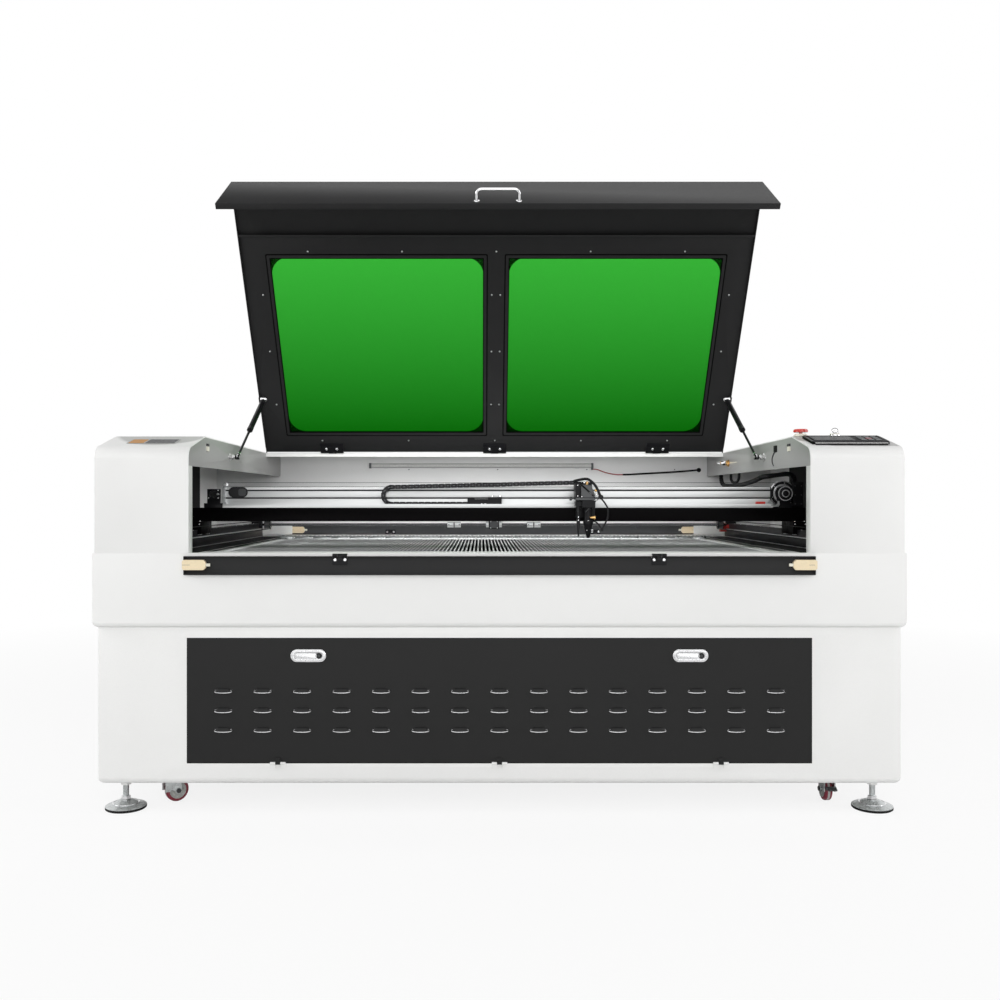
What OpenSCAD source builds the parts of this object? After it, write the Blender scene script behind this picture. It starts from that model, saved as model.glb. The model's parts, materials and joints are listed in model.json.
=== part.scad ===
/* [Body] */
// Width of the middle body
body_w = 2200; // [2100:10:2400]
// Depth of the body from front face to rear face
body_d = 1500; // [1450:10:1700]
// Gap between the floor and the underside of the cabinet
floor_gap = 78; // [74:1:90]
// Height of the lower cabinet
base_h = 427; // [400:1:500]
// Height of the middle body
mid_h = 201; // [180:1:240]
// How far the cabinet stands back from the middle body
base_inset = 12; // [6:1:20]
// Sheet metal thickness of the shells
sheet_t = 3; // [2:0.5:4]
// Edge radius under the cabinet
base_r = 20; // [12:1:30]
// Edge radius under the middle body
mid_r = 16; // [10:1:24]

/* [Housings] */
// Width between the two side cheeks
opening_w = 1680; // [1660:10:1720]
// How far a side housing stands in from the middle body
house_inset = 6; // [3:1:12]
// Height of the housing front above the middle body
front_h = 294; // [280:1:310]
// Height of the housing ridge above the middle body
ridge_h = 326; // [320:1:340]
// Distance of the ridge behind the front face
ridge_y = 165; // [140:1:200]
// Height of the rear deck above the middle body
deck_h = 318; // [314:1:320]
// Radius of the front top edge
front_r = 38; // [25:1:50]
// Radius of the rear top edge
rear_r = 30; // [15:1:40]
// Depth of the grey cheek panels below the deck
cheek_h = 81; // [70:1:100]
// Width of the folded strip beside the opening
return_w = 37; // [20:1:50]
// Distance of the inner rear wall behind the front face
wall_y = 1250; // [1240:5:1280]
// Height of the pass-through slot
slot_h = 45; // [38:1:48]

/* [Lid] */
// Distance of the hinge line behind the front face
hinge_y = 983; // [975:1:990]
// Length of the lid panel from the hinge
lid_l = 985; // [975:1:990]
// Depth of the lid's front apron
apron_h = 230; // [200:1:236]
// Gap beside the lid
lid_gap = 4; // [2:0.5:6]
// Thickness of the lid skin
skin_t = 2.5; // [1.5:0.5:3]
// Angle of the open lid above the horizontal
lid_open = 57.1; // [50:0.1:60]
// Width of each window
window_w = 698; // [600:1:710]
// Length of each window
window_l = 649; // [550:1:660]
// Distance from the hinge to the windows
window_u = 91; // [80:1:110]
// Width of the bar between the windows
mullion_w = 84; // [60:1:100]
// Corner radius of the window openings in the skin
window_r = 60; // [30:1:80]
// Thickness of the window panes
pane_t = 4; // [3:0.5:5]
// Thickness of the inner frame
frame_t = 4; // [3:0.5:5]
// Width of the lid handle
handle_w = 136; // [100:1:180]
// Projection of the lid handle
handle_h = 42; // [34:1:50]
// Diameter of the handle rod
handle_d = 9; // [7:0.5:12]

/* [Struts] */
// Distance of the lower strut pin behind the front face
strut_y = 445; // [430:1:460]
// Drop of the lower strut pin below the deck
strut_drop = 39; // [36:1:44]
// Distance from the lid hinge to the upper strut pin
strut_u = 235; // [225:1:245]
// Depth of the upper strut pin under the lid panel
strut_w = 31; // [28:1:34]
// Diameter of the strut cylinder
strut_d = 18; // [14:1:18]
// Length of the strut cylinder
strut_tube_l = 225; // [215:1:232]
// Diameter of the strut rod
strut_rod_d = 8; // [6:0.5:10]
// Length of the strut rod from its pin
strut_rod_l = 262; // [245:1:266]

/* [Flaps] */
// Width of the front and rear flaps
flap_w = 1700; // [1690:2:1710]
// Height of the flaps
flap_h = 50; // [44:1:56]
// Thickness of the flaps
flap_t = 12; // [8:1:12]
// Distance of the flap hinges from the centre
flap_hinge_x = 430; // [300:5:600]
// Width of a flap hinge
flap_hinge_w = 40; // [30:1:60]
// Diameter of the flap hinge pin
flap_pin_d = 4; // [3:0.5:5]

/* [Cabinet door] */
// Width of the cabinet door
door_w = 1691; // [1680:1:1720]
// Height of the cabinet door
door_h = 336; // [320:1:350]
// Height of the door's lower edge above the cabinet floor
door_up = 60; // [50:1:68]
// Depth of the door tray
door_d = 20; // [16:1:26]
// Gap around the door
door_gap = 2; // [1.5:0.5:4]
// Number of louvres in a row
louvre_n = 15; // [9:1:15]
// Number of rows of louvres
louvre_rows = 3; // [2:1:3]
// Spacing of the louvres along a row
louvre_pitch = 107; // [90:1:110]
// Spacing of the louvre rows
louvre_row_pitch = 53; // [44:1:56]
// Length of a louvre
louvre_l = 46; // [40:1:60]
// Radius of a louvre hood
louvre_r = 12; // [10:0.5:14]
// Distance of the door latches from the centre
latch_x = 518; // [400:1:600]
// Length of a door latch
latch_l = 92; // [80:1:110]
// Height of a door latch
latch_h = 30; // [24:1:36]

/* [Bed] */
// Width of the honeycomb bed
bed_w = 1640; // [1600:5:1650]
// Depth of the honeycomb bed
bed_d = 1000; // [960:5:1010]
// Distance of the bed behind the front face
bed_y = 110; // [105:1:120]
// Thickness of the honeycomb
comb_t = 20; // [15:1:25]
// Drop of the bed surface below the middle body's top
bed_drop = 4; // [2:1:10]
// Width of the bed frame bars
bed_bar = 26; // [20:1:30]

/* [Gantry] */
// Distance of the beam's front face behind the front face
beam_y = 400; // [390:1:420]
// Height of the beam's underside above the middle body
beam_up = 78; // [74:1:82]
// Depth of the lower beam
beam_d = 60; // [50:1:60]
// Height of the lower beam
beam_h = 42; // [36:1:46]
// Depth of the upper rail profile
rail_d = 40; // [34:1:42]
// Height of the upper rail profile
rail_h = 64; // [60:1:68]
// Distance of the Y rails outside the opening
y_rail_out = 90; // [80:1:95]
// How far the beam reaches past each Y rail
beam_over = 25; // [24:1:30]
// Distance of the X motor inside the Y rail
x_motor_in = 38; // [34:1:42]
// Diameter of the X motor housing
x_motor_d = 76; // [60:1:80]
// Height of the drive shaft above the middle body
shaft_up = 49; // [46:1:54]
// Distance of the drive shaft behind the front face
shaft_y = 1180; // [1175:1:1200]
// Diameter of the drive shaft
shaft_d = 10; // [8:1:12]
// Distance of the shaft couplings from the middle
coupling_x = 128; // [60:1:200]
// Diameter of the shaft couplings
coupling_d = 20; // [16:1:22]
// Length of the shaft couplings
coupling_l = 52; // [40:1:60]

/* [Head] */
// Position of the head along the beam
head_x = 277; // [200:1:300]
// Diameter of the lens tube
lens_d = 26; // [22:1:28]
// Bore of the lens tube
lens_bore = 18; // [12:1:18]
// Gap between the nozzle and the bed
nozzle_gap = 32; // [28:1:40]
// Diameter of the focus pen
pen_d = 11; // [8:1:12]
// Width of the drag chain
chain_w = 12; // [10:1:13]
// Height of a drag chain link
chain_h = 13; // [10:1:14]
// Length of a drag chain link
chain_pitch = 20; // [16:1:24]
// Bend radius of the drag chain
chain_r = 23; // [20:1:24]

/* [Controls] */
// Width of the control panel
panel_w = 214; // [180:1:220]
// Length of the control panel
panel_l = 88; // [70:1:92]
// Thickness of the control panel
panel_t = 8; // [5:1:12]
// Diameter of the emergency stop button
estop_d = 39; // [34:1:44]
// Diameter of the panel holes
panel_hole_d = 22.5; // [22.4:0.1:23]
// Diameter of the key switch collar
key_d = 28; // [25:1:32]

/* [Feet and casters] */
// Diameter of a levelling foot
foot_d = 110; // [90:1:116]
// Diameter of the foot's threaded stem
stem_d = 16; // [12:1:20]
// Distance of the feet in from the cabinet's side
foot_in = 58; // [56:1:70]
// Distance of the feet from the front face
foot_y = 62; // [60:1:70]
// Distance of the casters in from the cabinet's side
caster_in = 163; // [150:1:190]
// Distance of the casters from the front face
caster_y = 112; // [105:1:130]
// Diameter of a caster wheel
wheel_d = 64; // [56:1:64]
// Width of a caster wheel
wheel_w = 24; // [20:1:28]
// Trail of a caster wheel
caster_trail = 20; // [15:1:24]
// Clearance of the wheels above the floor
wheel_lift = 2; // [1:0.5:4]

/* [Services] */
// Outer diameter of the exhaust spigot
duct_d = 150; // [100:1:160]
// Diameter of the laser tube
tube_d = 80; // [60:1:90]
// Length of the laser tube
tube_l = 1600; // [1400:10:1640]

/* [Hidden] */
$fn = 48;
y_front = -body_d / 2;
y_rear = body_d / 2;
z_base = floor_gap;
z_mid = z_base + base_h;
z_top = z_mid + mid_h;
z_front = z_top + front_h;
z_ridge = z_top + ridge_h;
z_deck = z_top + deck_h;
half_mid = body_w / 2;
half_house = half_mid - house_inset;
half_base = half_mid - base_inset;
half_open = opening_w / 2;
y_hinge = y_front + hinge_y;
y_wall = y_front + wall_y;
z_cheek = z_deck - cheek_h;
z_slot = z_top + slot_h;
y_ridge = y_front + ridge_y;
slope_a = atan((z_ridge - z_front) / (ridge_y - front_r));
fall_a = atan((z_ridge - z_deck) / (y_hinge - y_ridge));
touch = 0.3;
eps = 1;

half_lid = half_open - lid_gap;
lid_flange = 12;
handle_up = 14;
lid_hinge_x = [-595, 0, 595];
lid_hinge_w = 84;
lid_knuckle_d = 7;
lid_pin_d = 3;

strut_x = half_open - 25;
strut_low = [y_front + strut_y, z_deck - strut_drop];
function lid_point(u, w) = [
    y_hinge - u * cos(lid_open) + w * -sin(lid_open),
    z_deck + u * sin(lid_open) - w * cos(lid_open)
];
strut_high = lid_point(strut_u, strut_w);
strut_run = strut_high - strut_low;
strut_len = norm(strut_run);
strut_a = atan2(strut_run[1], strut_run[0]);
strut_neck = 20;

flap_axis_z = z_top - 6;
flap_out = 7;
flap_gap = 1.5;
knuckle_d = 10;
catch_w = 58;

y_base_front = y_front + base_inset;
door_z = z_base + door_up;
door_sheet = 2;
door_hinge_x = [-600, 0, 600];
door_hinge_w = 42;
door_pin_d = 3;
door_knuckle_d = 7;
y_door_axis = y_base_front - door_knuckle_d / 2 - 0.6;
z_door_axis = door_z - door_gap / 2;
vent_pitch = 26;
vent_l = 190;
louvre_z = 112;
latch_z = door_h - 46;

y_bed = y_front + bed_y;
z_bed = z_top - bed_drop;
well_side = 12;
bed_drop_leg = 20;

y_rail_x = half_open + y_rail_out;
beam_half = y_rail_x + beam_over;
x_motor_x = y_rail_x - x_motor_in;
y_beam = y_front + beam_y;
z_beam = z_top + beam_up;
z_rail = z_beam + beam_h;
z_rail_top = z_rail + rail_h;
y_rail_front = y_beam + 15;
lip_h = 5;
lip_edge_h = 11.5;
lip_edge_t = 1.2;
y_rail_low = 34;
y_rail_high = 18;
truck_l = 120;
rail_half = x_motor_x - x_motor_d / 2 - 4;
truck_w = 44;
z_shaft = z_top + shaft_up;
y_shaft = y_front + shaft_y;
pulley_r = 16;

y_head = y_beam - 45;
z_nozzle = z_bed + nozzle_gap;
z_lens_low = z_nozzle + 30;
z_lens_top = z_rail + 26;
z_carriage = z_rail_top + 0.5;
pen_x = head_x - 30;
chain_gap = 0.5;
chain_y0 = y_beam + lip_edge_t + chain_gap;
chain_end_x = -92;
chain_bend_x = -327;
z_chain_low = z_rail + lip_h + chain_gap;
chain_core = 5;

panel_x = (half_open + half_house) / 2;
estop_x = half_open + 30;
key_x = panel_x + 1;
y_switch = y_ridge + 15;
z_switch = z_ridge + touch;

foot_x = half_base - foot_in;
caster_x = half_base - caster_in;
stem_fit = 0.3;
foot_dome = 14;
z_wheel = wheel_lift + wheel_d / 2;
caster_plate = [96, 76, 4];
corners = [[-1, -1], [1, -1], [-1, 1], [1, 1]];
caster_yaw = [35, 90, -20, 15];

duct_x = 388 - half_base;
duct_z = z_base + base_h / 2;
duct_t = 2;
y_duct = y_rear - base_inset;
duct_l = base_inset + flap_out + flap_t / 2;
wall_hole_x = 94 - half_house;
y_electronics = y_rear - 690;
y_air_fitting = y_front + 900;
y_socket = y_front + 322;
y_limit = y_front + 188;

lamp_x = [-485, 387];
lamp_z = z_deck - 48;
lead_z = z_deck - 56;
lamp_lead_route = [
    [391.3, 4], [410, 1], [440, -10], [475, -17], [520, -18],
    [580, -15], [650, -11], [720, -7], [770, -3], [799.7, 0]
];
harness_route = [
    [0, 270, -0.3], [0, 270, -13], [0, 258, -29], [0, 222, -39], [0, 160, -42], [0, 90, -43],
    [0, 20, -42], [0, -60, -39], [0, -140, -34], [0, -215, -27], [0, -268, -21], [5, -300, -19],
    [20, -319, -17], [41, -329, -14], [62, -328, -12], [79, -325, -16], [86, -325, -25],
    [86, -325, -36.7]
];
harness_d = 14;

module block(low, high) {
    translate(low) cube(high - low);
}

module both_sides() {
    children();
    mirror([1, 0, 0]) children();
}

module yz_extrude(x0, x1) {
    translate([x0, 0, 0]) rotate([90, 0, 90]) linear_extrude(x1 - x0) children();
}

module xz_extrude(y0, y1) {
    translate([0, y1, 0]) rotate([90, 0, 0]) linear_extrude(y1 - y0) children();
}

module x_rod(d, x0, x1) {
    translate([x0, 0, 0]) rotate([0, 90, 0]) cylinder(d = d, h = x1 - x0);
}

module y_rod(d, y0, y1) {
    translate([0, y0, 0]) rotate([-90, 0, 0]) cylinder(d = d, h = y1 - y0);
}

module corner_cut(x, z, sx, sz, r) {
    difference() {
        translate([x - (sx > 0 ? eps : r), z - (sz > 0 ? eps : r)]) square(r + eps);
        translate([x + sx * r, z + sz * r]) circle(r);
    }
}

module tub_profile(a0, a1, z0, z1, r) {
    difference() {
        translate([a0, z0]) square([a1 - a0, z1 - z0]);
        corner_cut(a0, z0, 1, 1, r);
        corner_cut(a1, z0, -1, 1, r);
    }
}

module tub(half, y0, y1, z0, z1, r) {
    intersection() {
        xz_extrude(y0, y1) tub_profile(-half, half, z0, z1, r);
        yz_extrude(-half, half) tub_profile(y0, y1, z0, z1, r);
    }
}

module slot_2d(l, h) {
    square([l - h, h], center = true);
    for (s = [-1, 1]) translate([s * (l - h) / 2, 0]) circle(d = h);
}

module rounded_2d(w, h, r) {
    square([w - 2 * r, h], center = true);
    square([w, h - 2 * r], center = true);
    for (sx = [-1, 1], sy = [-1, 1]) translate([sx * (w / 2 - r), sy * (h / 2 - r)]) circle(r);
}

module base_cabinet() {
    color([0.93, 0.93, 0.92]) difference() {
        tub(half_base, y_base_front, y_rear - base_inset, z_base, z_mid, base_r);
        tub(half_base - sheet_t, y_base_front + sheet_t, y_rear - base_inset - sheet_t,
            z_base + sheet_t, z_mid - sheet_t, base_r - sheet_t);
        block([-door_w / 2 - door_gap, y_base_front - eps, door_z - door_gap],
              [door_w / 2 + door_gap, y_base_front + base_r, door_z + door_h + door_gap]);
        for (c = corners)
            translate([c[0] * foot_x, c[1] * (y_rear - foot_y), z_base - eps])
                cylinder(d = stem_d + stem_fit, h = sheet_t + 2 * eps);
        translate([duct_x, y_duct, duct_z]) y_rod(duct_d - 2 * duct_t, -sheet_t - eps, eps);
        both_sides() for (k = [-6:6])
            translate([half_base - sheet_t - eps, k * vent_pitch, z_base + base_h / 2])
                rotate([90, 90, 90]) linear_extrude(sheet_t + 2 * eps) slot_2d(vent_l, 7);
    }
    underframe();
    for (x = door_hinge_x) translate([x, 0, 0]) {
        for (k = [-1, 1]) translate([k * door_hinge_w / 3, 0, 0]) door_knuckle(-1);
        translate([0, y_door_axis, z_door_axis])
            x_rod(door_pin_d, -door_hinge_w / 2, door_hinge_w / 2);
    }
}

module door_knuckle(up) {
    half = door_hinge_w / 6 - 0.2;
    z_far = z_door_axis + up * 14;
    translate([0, y_door_axis, z_door_axis]) x_rod(door_knuckle_d, -half, half);
    block([-half, y_door_axis, min(z_far, z_door_axis + up)],
          [half, y_base_front, max(z_far, z_door_axis + up)]);
}

module flap_hinge_leaf(y_face, out) {
    seg = flap_hinge_w / 3;
    for (sx = [-1, 1]) translate([sx * flap_hinge_x, 0, 0]) {
        for (k = [-1, 1]) translate([k * seg, 0, 0]) {
            block([-seg / 2 + 0.2, min(y_face, y_face + out * flap_out), flap_axis_z - knuckle_d / 4],
                  [seg / 2 - 0.2, max(y_face, y_face + out * flap_out), flap_axis_z + knuckle_d / 4]);
            translate([0, y_face + out * flap_out, flap_axis_z])
                x_rod(knuckle_d, -seg / 2 + 0.2, seg / 2 - 0.2);
        }
        translate([0, y_face + out * flap_out, flap_axis_z])
            x_rod(flap_pin_d, -flap_hinge_w / 2, flap_hinge_w / 2);
    }
}

module mid_body() {
    y_bed_end = y_bed + bed_d + well_side;
    color([0.94, 0.94, 0.93]) {
        difference() {
            tub(half_mid, y_front, y_rear, z_mid, z_top, mid_r);
            tub(half_mid - sheet_t, y_front + sheet_t, y_rear - sheet_t, z_mid + sheet_t,
                z_top - sheet_t, mid_r - sheet_t);
            block([-bed_w / 2 - well_side, y_bed - well_side, z_top - sheet_t - eps],
                  [bed_w / 2 + well_side, y_bed_end, z_top + eps]);
        }
        flap_hinge_leaf(y_front, -1);
        flap_hinge_leaf(y_rear, 1);
    }
}

function ridge_point(i) = let(
    low = z_front - i / cos(slope_a) - (y_front + front_r) * tan(slope_a),
    high = z_ridge - i / cos(fall_a) + y_ridge * tan(fall_a),
    y = (high - low) / (tan(slope_a) + tan(fall_a))
) [y, low + y * tan(slope_a)];

module house_side(i, z0) {
    zc = z_front - front_r / cos(slope_a);
    yc = y_front + front_r;
    yr = y_rear - rear_r;
    zr = z_deck - rear_r;
    polygon([
        [y_front + i, z0], [y_front + i, zc], [yc, zc],
        [yc - (front_r - i) * sin(slope_a), zc + (front_r - i) * cos(slope_a)],
        ridge_point(i), [y_hinge, z_deck - i], [yr, z_deck - i], [yr, zr],
        [y_rear - i, zr], [y_rear - i, z0]
    ]);
    translate([yc, zc]) circle(front_r - i);
    translate([yr, zr]) circle(rear_r - i);
}

module switch_hole(x) {
    translate([x, y_switch, z_switch - 20]) cylinder(d = panel_hole_d, h = 40);
}

module housing(side) {
    color([0.95, 0.95, 0.94]) mirror([side < 0 ? 1 : 0, 0, 0]) difference() {
        union() {
            difference() {
                yz_extrude(half_open, half_house) house_side(0, z_top);
                yz_extrude(half_open - eps, half_house - sheet_t) house_side(sheet_t, z_top - eps);
            }
            block([half_open, y_front, z_top],
                  [half_open + sheet_t, y_front + return_w, z_cheek]);
            block([half_open, y_rear - return_w, z_slot],
                  [half_open + sheet_t, y_rear - sheet_t, z_cheek]);
        }
        if (side > 0) {
            switch_hole(estop_x);
            switch_hole(key_x);
        }
    }
}

module left_housing() { housing(-1); }
module right_housing() { housing(1); }

module hinge_notches() {
    for (x = lid_hinge_x) translate([x, y_hinge, z_deck])
        x_rod(lid_knuckle_d + 2, -lid_hinge_w / 2 - 1, lid_hinge_w / 2 + 1);
}

module rear_housing() {
    color([0.95, 0.95, 0.94]) {
        difference() {
            yz_extrude(-half_open, half_open) house_side(0, z_slot);
            yz_extrude(-half_open - eps, half_open + eps) house_side(sheet_t, z_slot - eps);
            block([-half_open - eps, y_front - eps, z_slot - eps],
                  [half_open + eps, y_hinge, z_ridge + eps]);
            hinge_notches();
        }
        difference() {
            block([-half_open, y_hinge, z_deck - 15], [half_open, y_hinge + sheet_t, z_deck]);
            hinge_notches();
        }
        for (x = lid_hinge_x) translate([x, y_hinge, z_deck]) {
            for (s = [-1, 1]) {
                translate([s * lid_hinge_w / 3, 0, 0]) {
                    x_rod(lid_knuckle_d, -lid_hinge_w / 6 + 0.2, lid_hinge_w / 6 - 0.2);
                    block([-lid_hinge_w / 6 + 0.2, 0, -3.4], [lid_hinge_w / 6 - 0.2, 6, -0.4]);
                }
            }
            x_rod(lid_pin_d, -lid_hinge_w / 2, lid_hinge_w / 2);
        }
    }
}

module side_cheeks() {
    color([0.66, 0.66, 0.67]) both_sides() {
        yz_extrude(half_open, half_open + sheet_t) intersection() {
            house_side(sheet_t, z_cheek);
            translate([y_front + sheet_t, z_cheek])
                square([wall_y - sheet_t, z_ridge - z_cheek]);
        }
        translate([0, strut_low[0], strut_low[1]]) {
            x_rod(strut_rod_d, strut_x - 7, half_open);
            x_rod(strut_rod_d + 6, half_open - 9, half_open);
        }
    }
}

module rear_wall() {
    color([0.86, 0.87, 0.88]) {
        difference() {
            block([-half_house + sheet_t, y_wall, z_slot],
                  [half_house - sheet_t, y_wall + sheet_t, z_deck - sheet_t]);
            translate([wall_hole_x, y_wall + sheet_t + eps, z_top + 174])
                rotate([90, 0, 0]) linear_extrude(sheet_t + 2 * eps) slot_2d(79, 42);
        }
        block([-half_open, y_wall + sheet_t, z_slot],
              [half_open, y_rear - sheet_t, z_slot + sheet_t]);
    }
}

module bed_frame() {
    half = bed_w / 2;
    y1 = y_bed + bed_d;
    z1 = z_bed - comb_t;
    hole_n = 22;
    color([0.62, 0.63, 0.64]) {
        difference() {
            block([-half, y_bed, z1 - bed_bar], [half, y1, z1]);
            block([-half + bed_bar, y_bed + bed_bar, z1 - bed_bar - eps],
                  [half - bed_bar, y1 - bed_bar, z1 + eps]);
        }
        for (k = [-1:1]) translate([k * half / 2, 0, 0])
            block([-bed_bar / 2, y_bed + bed_bar, z1 - bed_bar], [bed_bar / 2, y1 - bed_bar, z1]);
        difference() {
            block([-half, y1, z1 - bed_bar], [half, y1 + sheet_t, z_bed + 12]);
            for (k = [0:hole_n])
                translate([-half + 60 + k * (bed_w - 120) / hole_n, y1 - eps, z_bed + 5])
                    y_rod(6, 0, sheet_t + 2 * eps);
        }
        for (c = corners) translate([c[0] * (half - bed_drop_leg), y_bed + bed_d / 2
                + c[1] * (bed_d / 2 - bed_drop_leg), z_mid + sheet_t])
            cylinder(d = bed_bar - 4, h = z1 - bed_bar - z_mid - sheet_t);
    }
}

module honeycomb_bed() {
    half = bed_w / 2;
    gaps = 18;
    rim = 14;
    step = (bed_w - 2 * rim) / gaps;
    color([0.72, 0.74, 0.76]) difference() {
        block([-half, y_bed, z_bed - comb_t], [half, y_bed + bed_d, z_bed]);
        for (k = [0:gaps - 1]) translate([-half + rim + k * step, 0, 0])
            for (row = [0:3]) translate([0, y_bed + rim + row * (bed_d - 2 * rim) / 4, 0])
                block([2, 2, z_bed - 8], [step - 2, (bed_d - 2 * rim) / 4 - 2, z_bed + eps]);
    }
}

module y_rails() {
    y0 = y_front + 30;
    y1 = y_wall - 20;
    color([0.60, 0.61, 0.63]) both_sides() {
        block([y_rail_x - 20, y0, z_top], [y_rail_x + 20, y1, z_top + y_rail_low]);
        block([y_rail_x - 10, y0, z_top + y_rail_low],
              [y_rail_x + 10, y1, z_top + y_rail_low + y_rail_high]);
        block([y_rail_x - 20, y1, z_top], [y_rail_x + 20, y_wall, z_top + y_rail_low + 30]);
    }
}

module on_slope(x, u) {
    translate([x, y_front + front_r, z_front]) rotate([slope_a, 0, 0]) translate([0, u, 0]) children();
}

module control_panel() {
    color([0.25, 0.26, 0.28]) on_slope(panel_x, 12) {
        translate([-panel_w / 2, 0, touch]) cube([panel_w, panel_l, panel_t - 2 - touch]);
        translate([-panel_w / 2 + 4, 4, touch]) cube([panel_w - 8, panel_l - 8, panel_t - touch]);
    }
    color([0.90, 0.88, 0.80]) on_slope(panel_x, 2)
        translate([-panel_w / 2 + 8, 0, touch]) cube([panel_w - 16, 10, panel_t - 3 - touch]);
}

module switch_body(x, collar_d, bore) {
    translate([x, y_switch, z_switch]) difference() {
        union() {
            cylinder(d = collar_d, h = 8);
            translate([0, 0, -34]) cylinder(d = panel_hole_d - 0.4, h = 34);
            translate([0, 0, -sheet_t - 8]) cylinder(d = panel_hole_d + 6, h = 7);
        }
        translate([0, 0, -24]) cylinder(d = bore, h = 40);
    }
}

module switch_bases() {
    color([0.90, 0.90, 0.88]) switch_body(estop_x, estop_d - 8, 10.16);
    color([0.75, 0.76, 0.78]) switch_body(key_x, key_d, 6.16);
}

module led_lamp() {
    color([0.92, 0.94, 0.90]) {
        block([lamp_x[0], y_wall - 14, lamp_z], [lamp_x[1], y_wall, lamp_z + 18]);
        for (x = lamp_x) translate([x, 0, 0])
            block([-4, y_wall - 16, lamp_z - 1], [4, y_wall, lamp_z + 19]);
    }
}

module laser_tube() {
    yt = (y_wall + y_rear) / 2;
    zt = (z_slot + z_deck) / 2;
    color([0.80, 0.90, 0.95]) translate([0, yt, zt]) {
        x_rod(tube_d, -tube_l / 2, tube_l / 2 - 60);
        x_rod(tube_d / 3, tube_l / 2 - 60, tube_l / 2);
    }
    color([0.2, 0.2, 0.22]) for (x = [-tube_l / 3, tube_l / 3]) translate([x, yt, 0]) difference() {
        block([-15, -tube_d / 2 - 14, z_slot + sheet_t], [15, tube_d / 2 + 14, zt + tube_d / 2 + 14]);
        translate([0, 0, zt]) x_rod(tube_d + 2 * touch, -16, 16);
    }
}

module electronics() {
    z0 = z_base + sheet_t;
    translate([0, y_electronics, z0]) {
        color([0.70, 0.71, 0.72]) block([-780, 20, 0], [-460, 200, 160]);
        color([0.16, 0.16, 0.18]) {
            block([-300, 0, 0], [-120, 120, 46]);
            block([-40, 0, 0], [20, 120, 110]);
            block([60, 0, 0], [120, 120, 110]);
        }
        color([0.80, 0.81, 0.82]) block([300, 0, 0], [520, 115, 50]);
    }
}

module exhaust_outlet() {
    flange = duct_d + 30;
    color([0.75, 0.76, 0.77]) translate([duct_x, y_duct, duct_z]) difference() {
        union() {
            translate([-flange / 2, 0, -flange / 2]) cube([flange, sheet_t, flange]);
            y_rod(duct_d, 0, duct_l);
        }
        y_rod(duct_d - 2 * duct_t, -eps, duct_l + eps);
        for (c = corners) translate([c[0] * (flange / 2 - 9), 0, c[1] * (flange / 2 - 9)])
            y_rod(5, -eps, sheet_t + eps);
    }
}

module at_caster(c) {
    translate([c[0] * caster_x, c[1] * (y_rear - caster_y), 0]) children();
}

module underframe() {
    color([0.72, 0.73, 0.74]) for (c = corners) {
        at_caster(c) difference() {
            union() {
                translate([-caster_plate[0] / 2, -caster_plate[1] / 2, z_base - caster_plate[2]])
                    cube(caster_plate);
                translate([0, 0, z_base - caster_plate[2] - 3]) cylinder(d = 46, h = 3);
                translate([0, 0, z_base - caster_plate[2] - 9]) cylinder(d = 10, h = 9);
            }
            for (k = corners) translate([k[0] * 38, k[1] * 28, z_base - 10]) cylinder(d = 8, h = 20);
        }
        translate([c[0] * foot_x, c[1] * (y_rear - foot_y), z_base - 12]) difference() {
            cylinder(d = stem_d * 1.8, h = 12, $fn = 6);
            translate([0, 0, -eps]) cylinder(d = stem_d + 0.16, h = 12 + 2 * eps);
        }
    }
}

module fork(index) {
    z_plate = z_base - caster_plate[2] - 3;
    gap = wheel_w / 2 + 1;
    color([0.74, 0.75, 0.77]) at_caster(corners[index]) rotate([0, 0, caster_yaw[index]]) {
        difference() {
            translate([0, 0, z_plate - 3.3]) cylinder(d = 44, h = 3);
            translate([0, 0, z_plate - 10]) cylinder(d = 10.16, h = 14);
        }
        for (s = [-1, 1]) difference() {
            union() {
                translate([0, s * (gap + 1.5) - 1.5, 0])
                    block([-16, 0, z_wheel], [caster_trail + 9, 3, z_plate - 0.3]);
                translate([caster_trail, s * (gap + 1.5) - 1.5, z_wheel]) y_rod(18, 0, 3);
            }
            translate([-16, s * (gap + 1.5) - 3, z_wheel - 20]) rotate([0, 35, 0]) cube([40, 6, 30]);
        }
        translate([caster_trail, 0, z_wheel]) y_rod(8, -gap - 6, gap + 6);
    }
}

module wheel(index) {
    color([0.50, 0.14, 0.20]) at_caster(corners[index]) rotate([0, 0, caster_yaw[index]])
        translate([caster_trail, 0, z_wheel]) difference() {
            union() {
                y_rod(wheel_d, -wheel_w / 2 + 2, wheel_w / 2 - 2);
                y_rod(wheel_d - 5, -wheel_w / 2 + 0.5, wheel_w / 2 - 0.5);
                y_rod(20, -wheel_w / 2, wheel_w / 2);
            }
            y_rod(8.16, -wheel_w, wheel_w);
            for (s = [-1, 1]) translate([0, s * wheel_w / 2, 0]) difference() {
                y_rod(wheel_d - 18, -3, 3);
                y_rod(20, -4, 4);
            }
        }
}

module foot(index) {
    c = corners[index];
    color([0.70, 0.71, 0.73]) translate([c[0] * foot_x, c[1] * (y_rear - foot_y), 0]) {
        cylinder(d = foot_d, h = 8);
        translate([0, 0, 8]) rotate_extrude() polygon([
            [0, 0], [foot_d / 2 - 2, 0], [foot_d / 2 - 8, 5], [foot_d / 4, foot_dome],
            [stem_d, foot_dome + 3], [0, foot_dome + 3]
        ]);
        translate([0, 0, foot_dome]) cylinder(d = stem_d, h = z_base + sheet_t + 24 - foot_dome);
        translate([0, 0, foot_dome + 10]) cylinder(d = stem_d * 1.6, h = 9, $fn = 6);
    }
}

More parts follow.
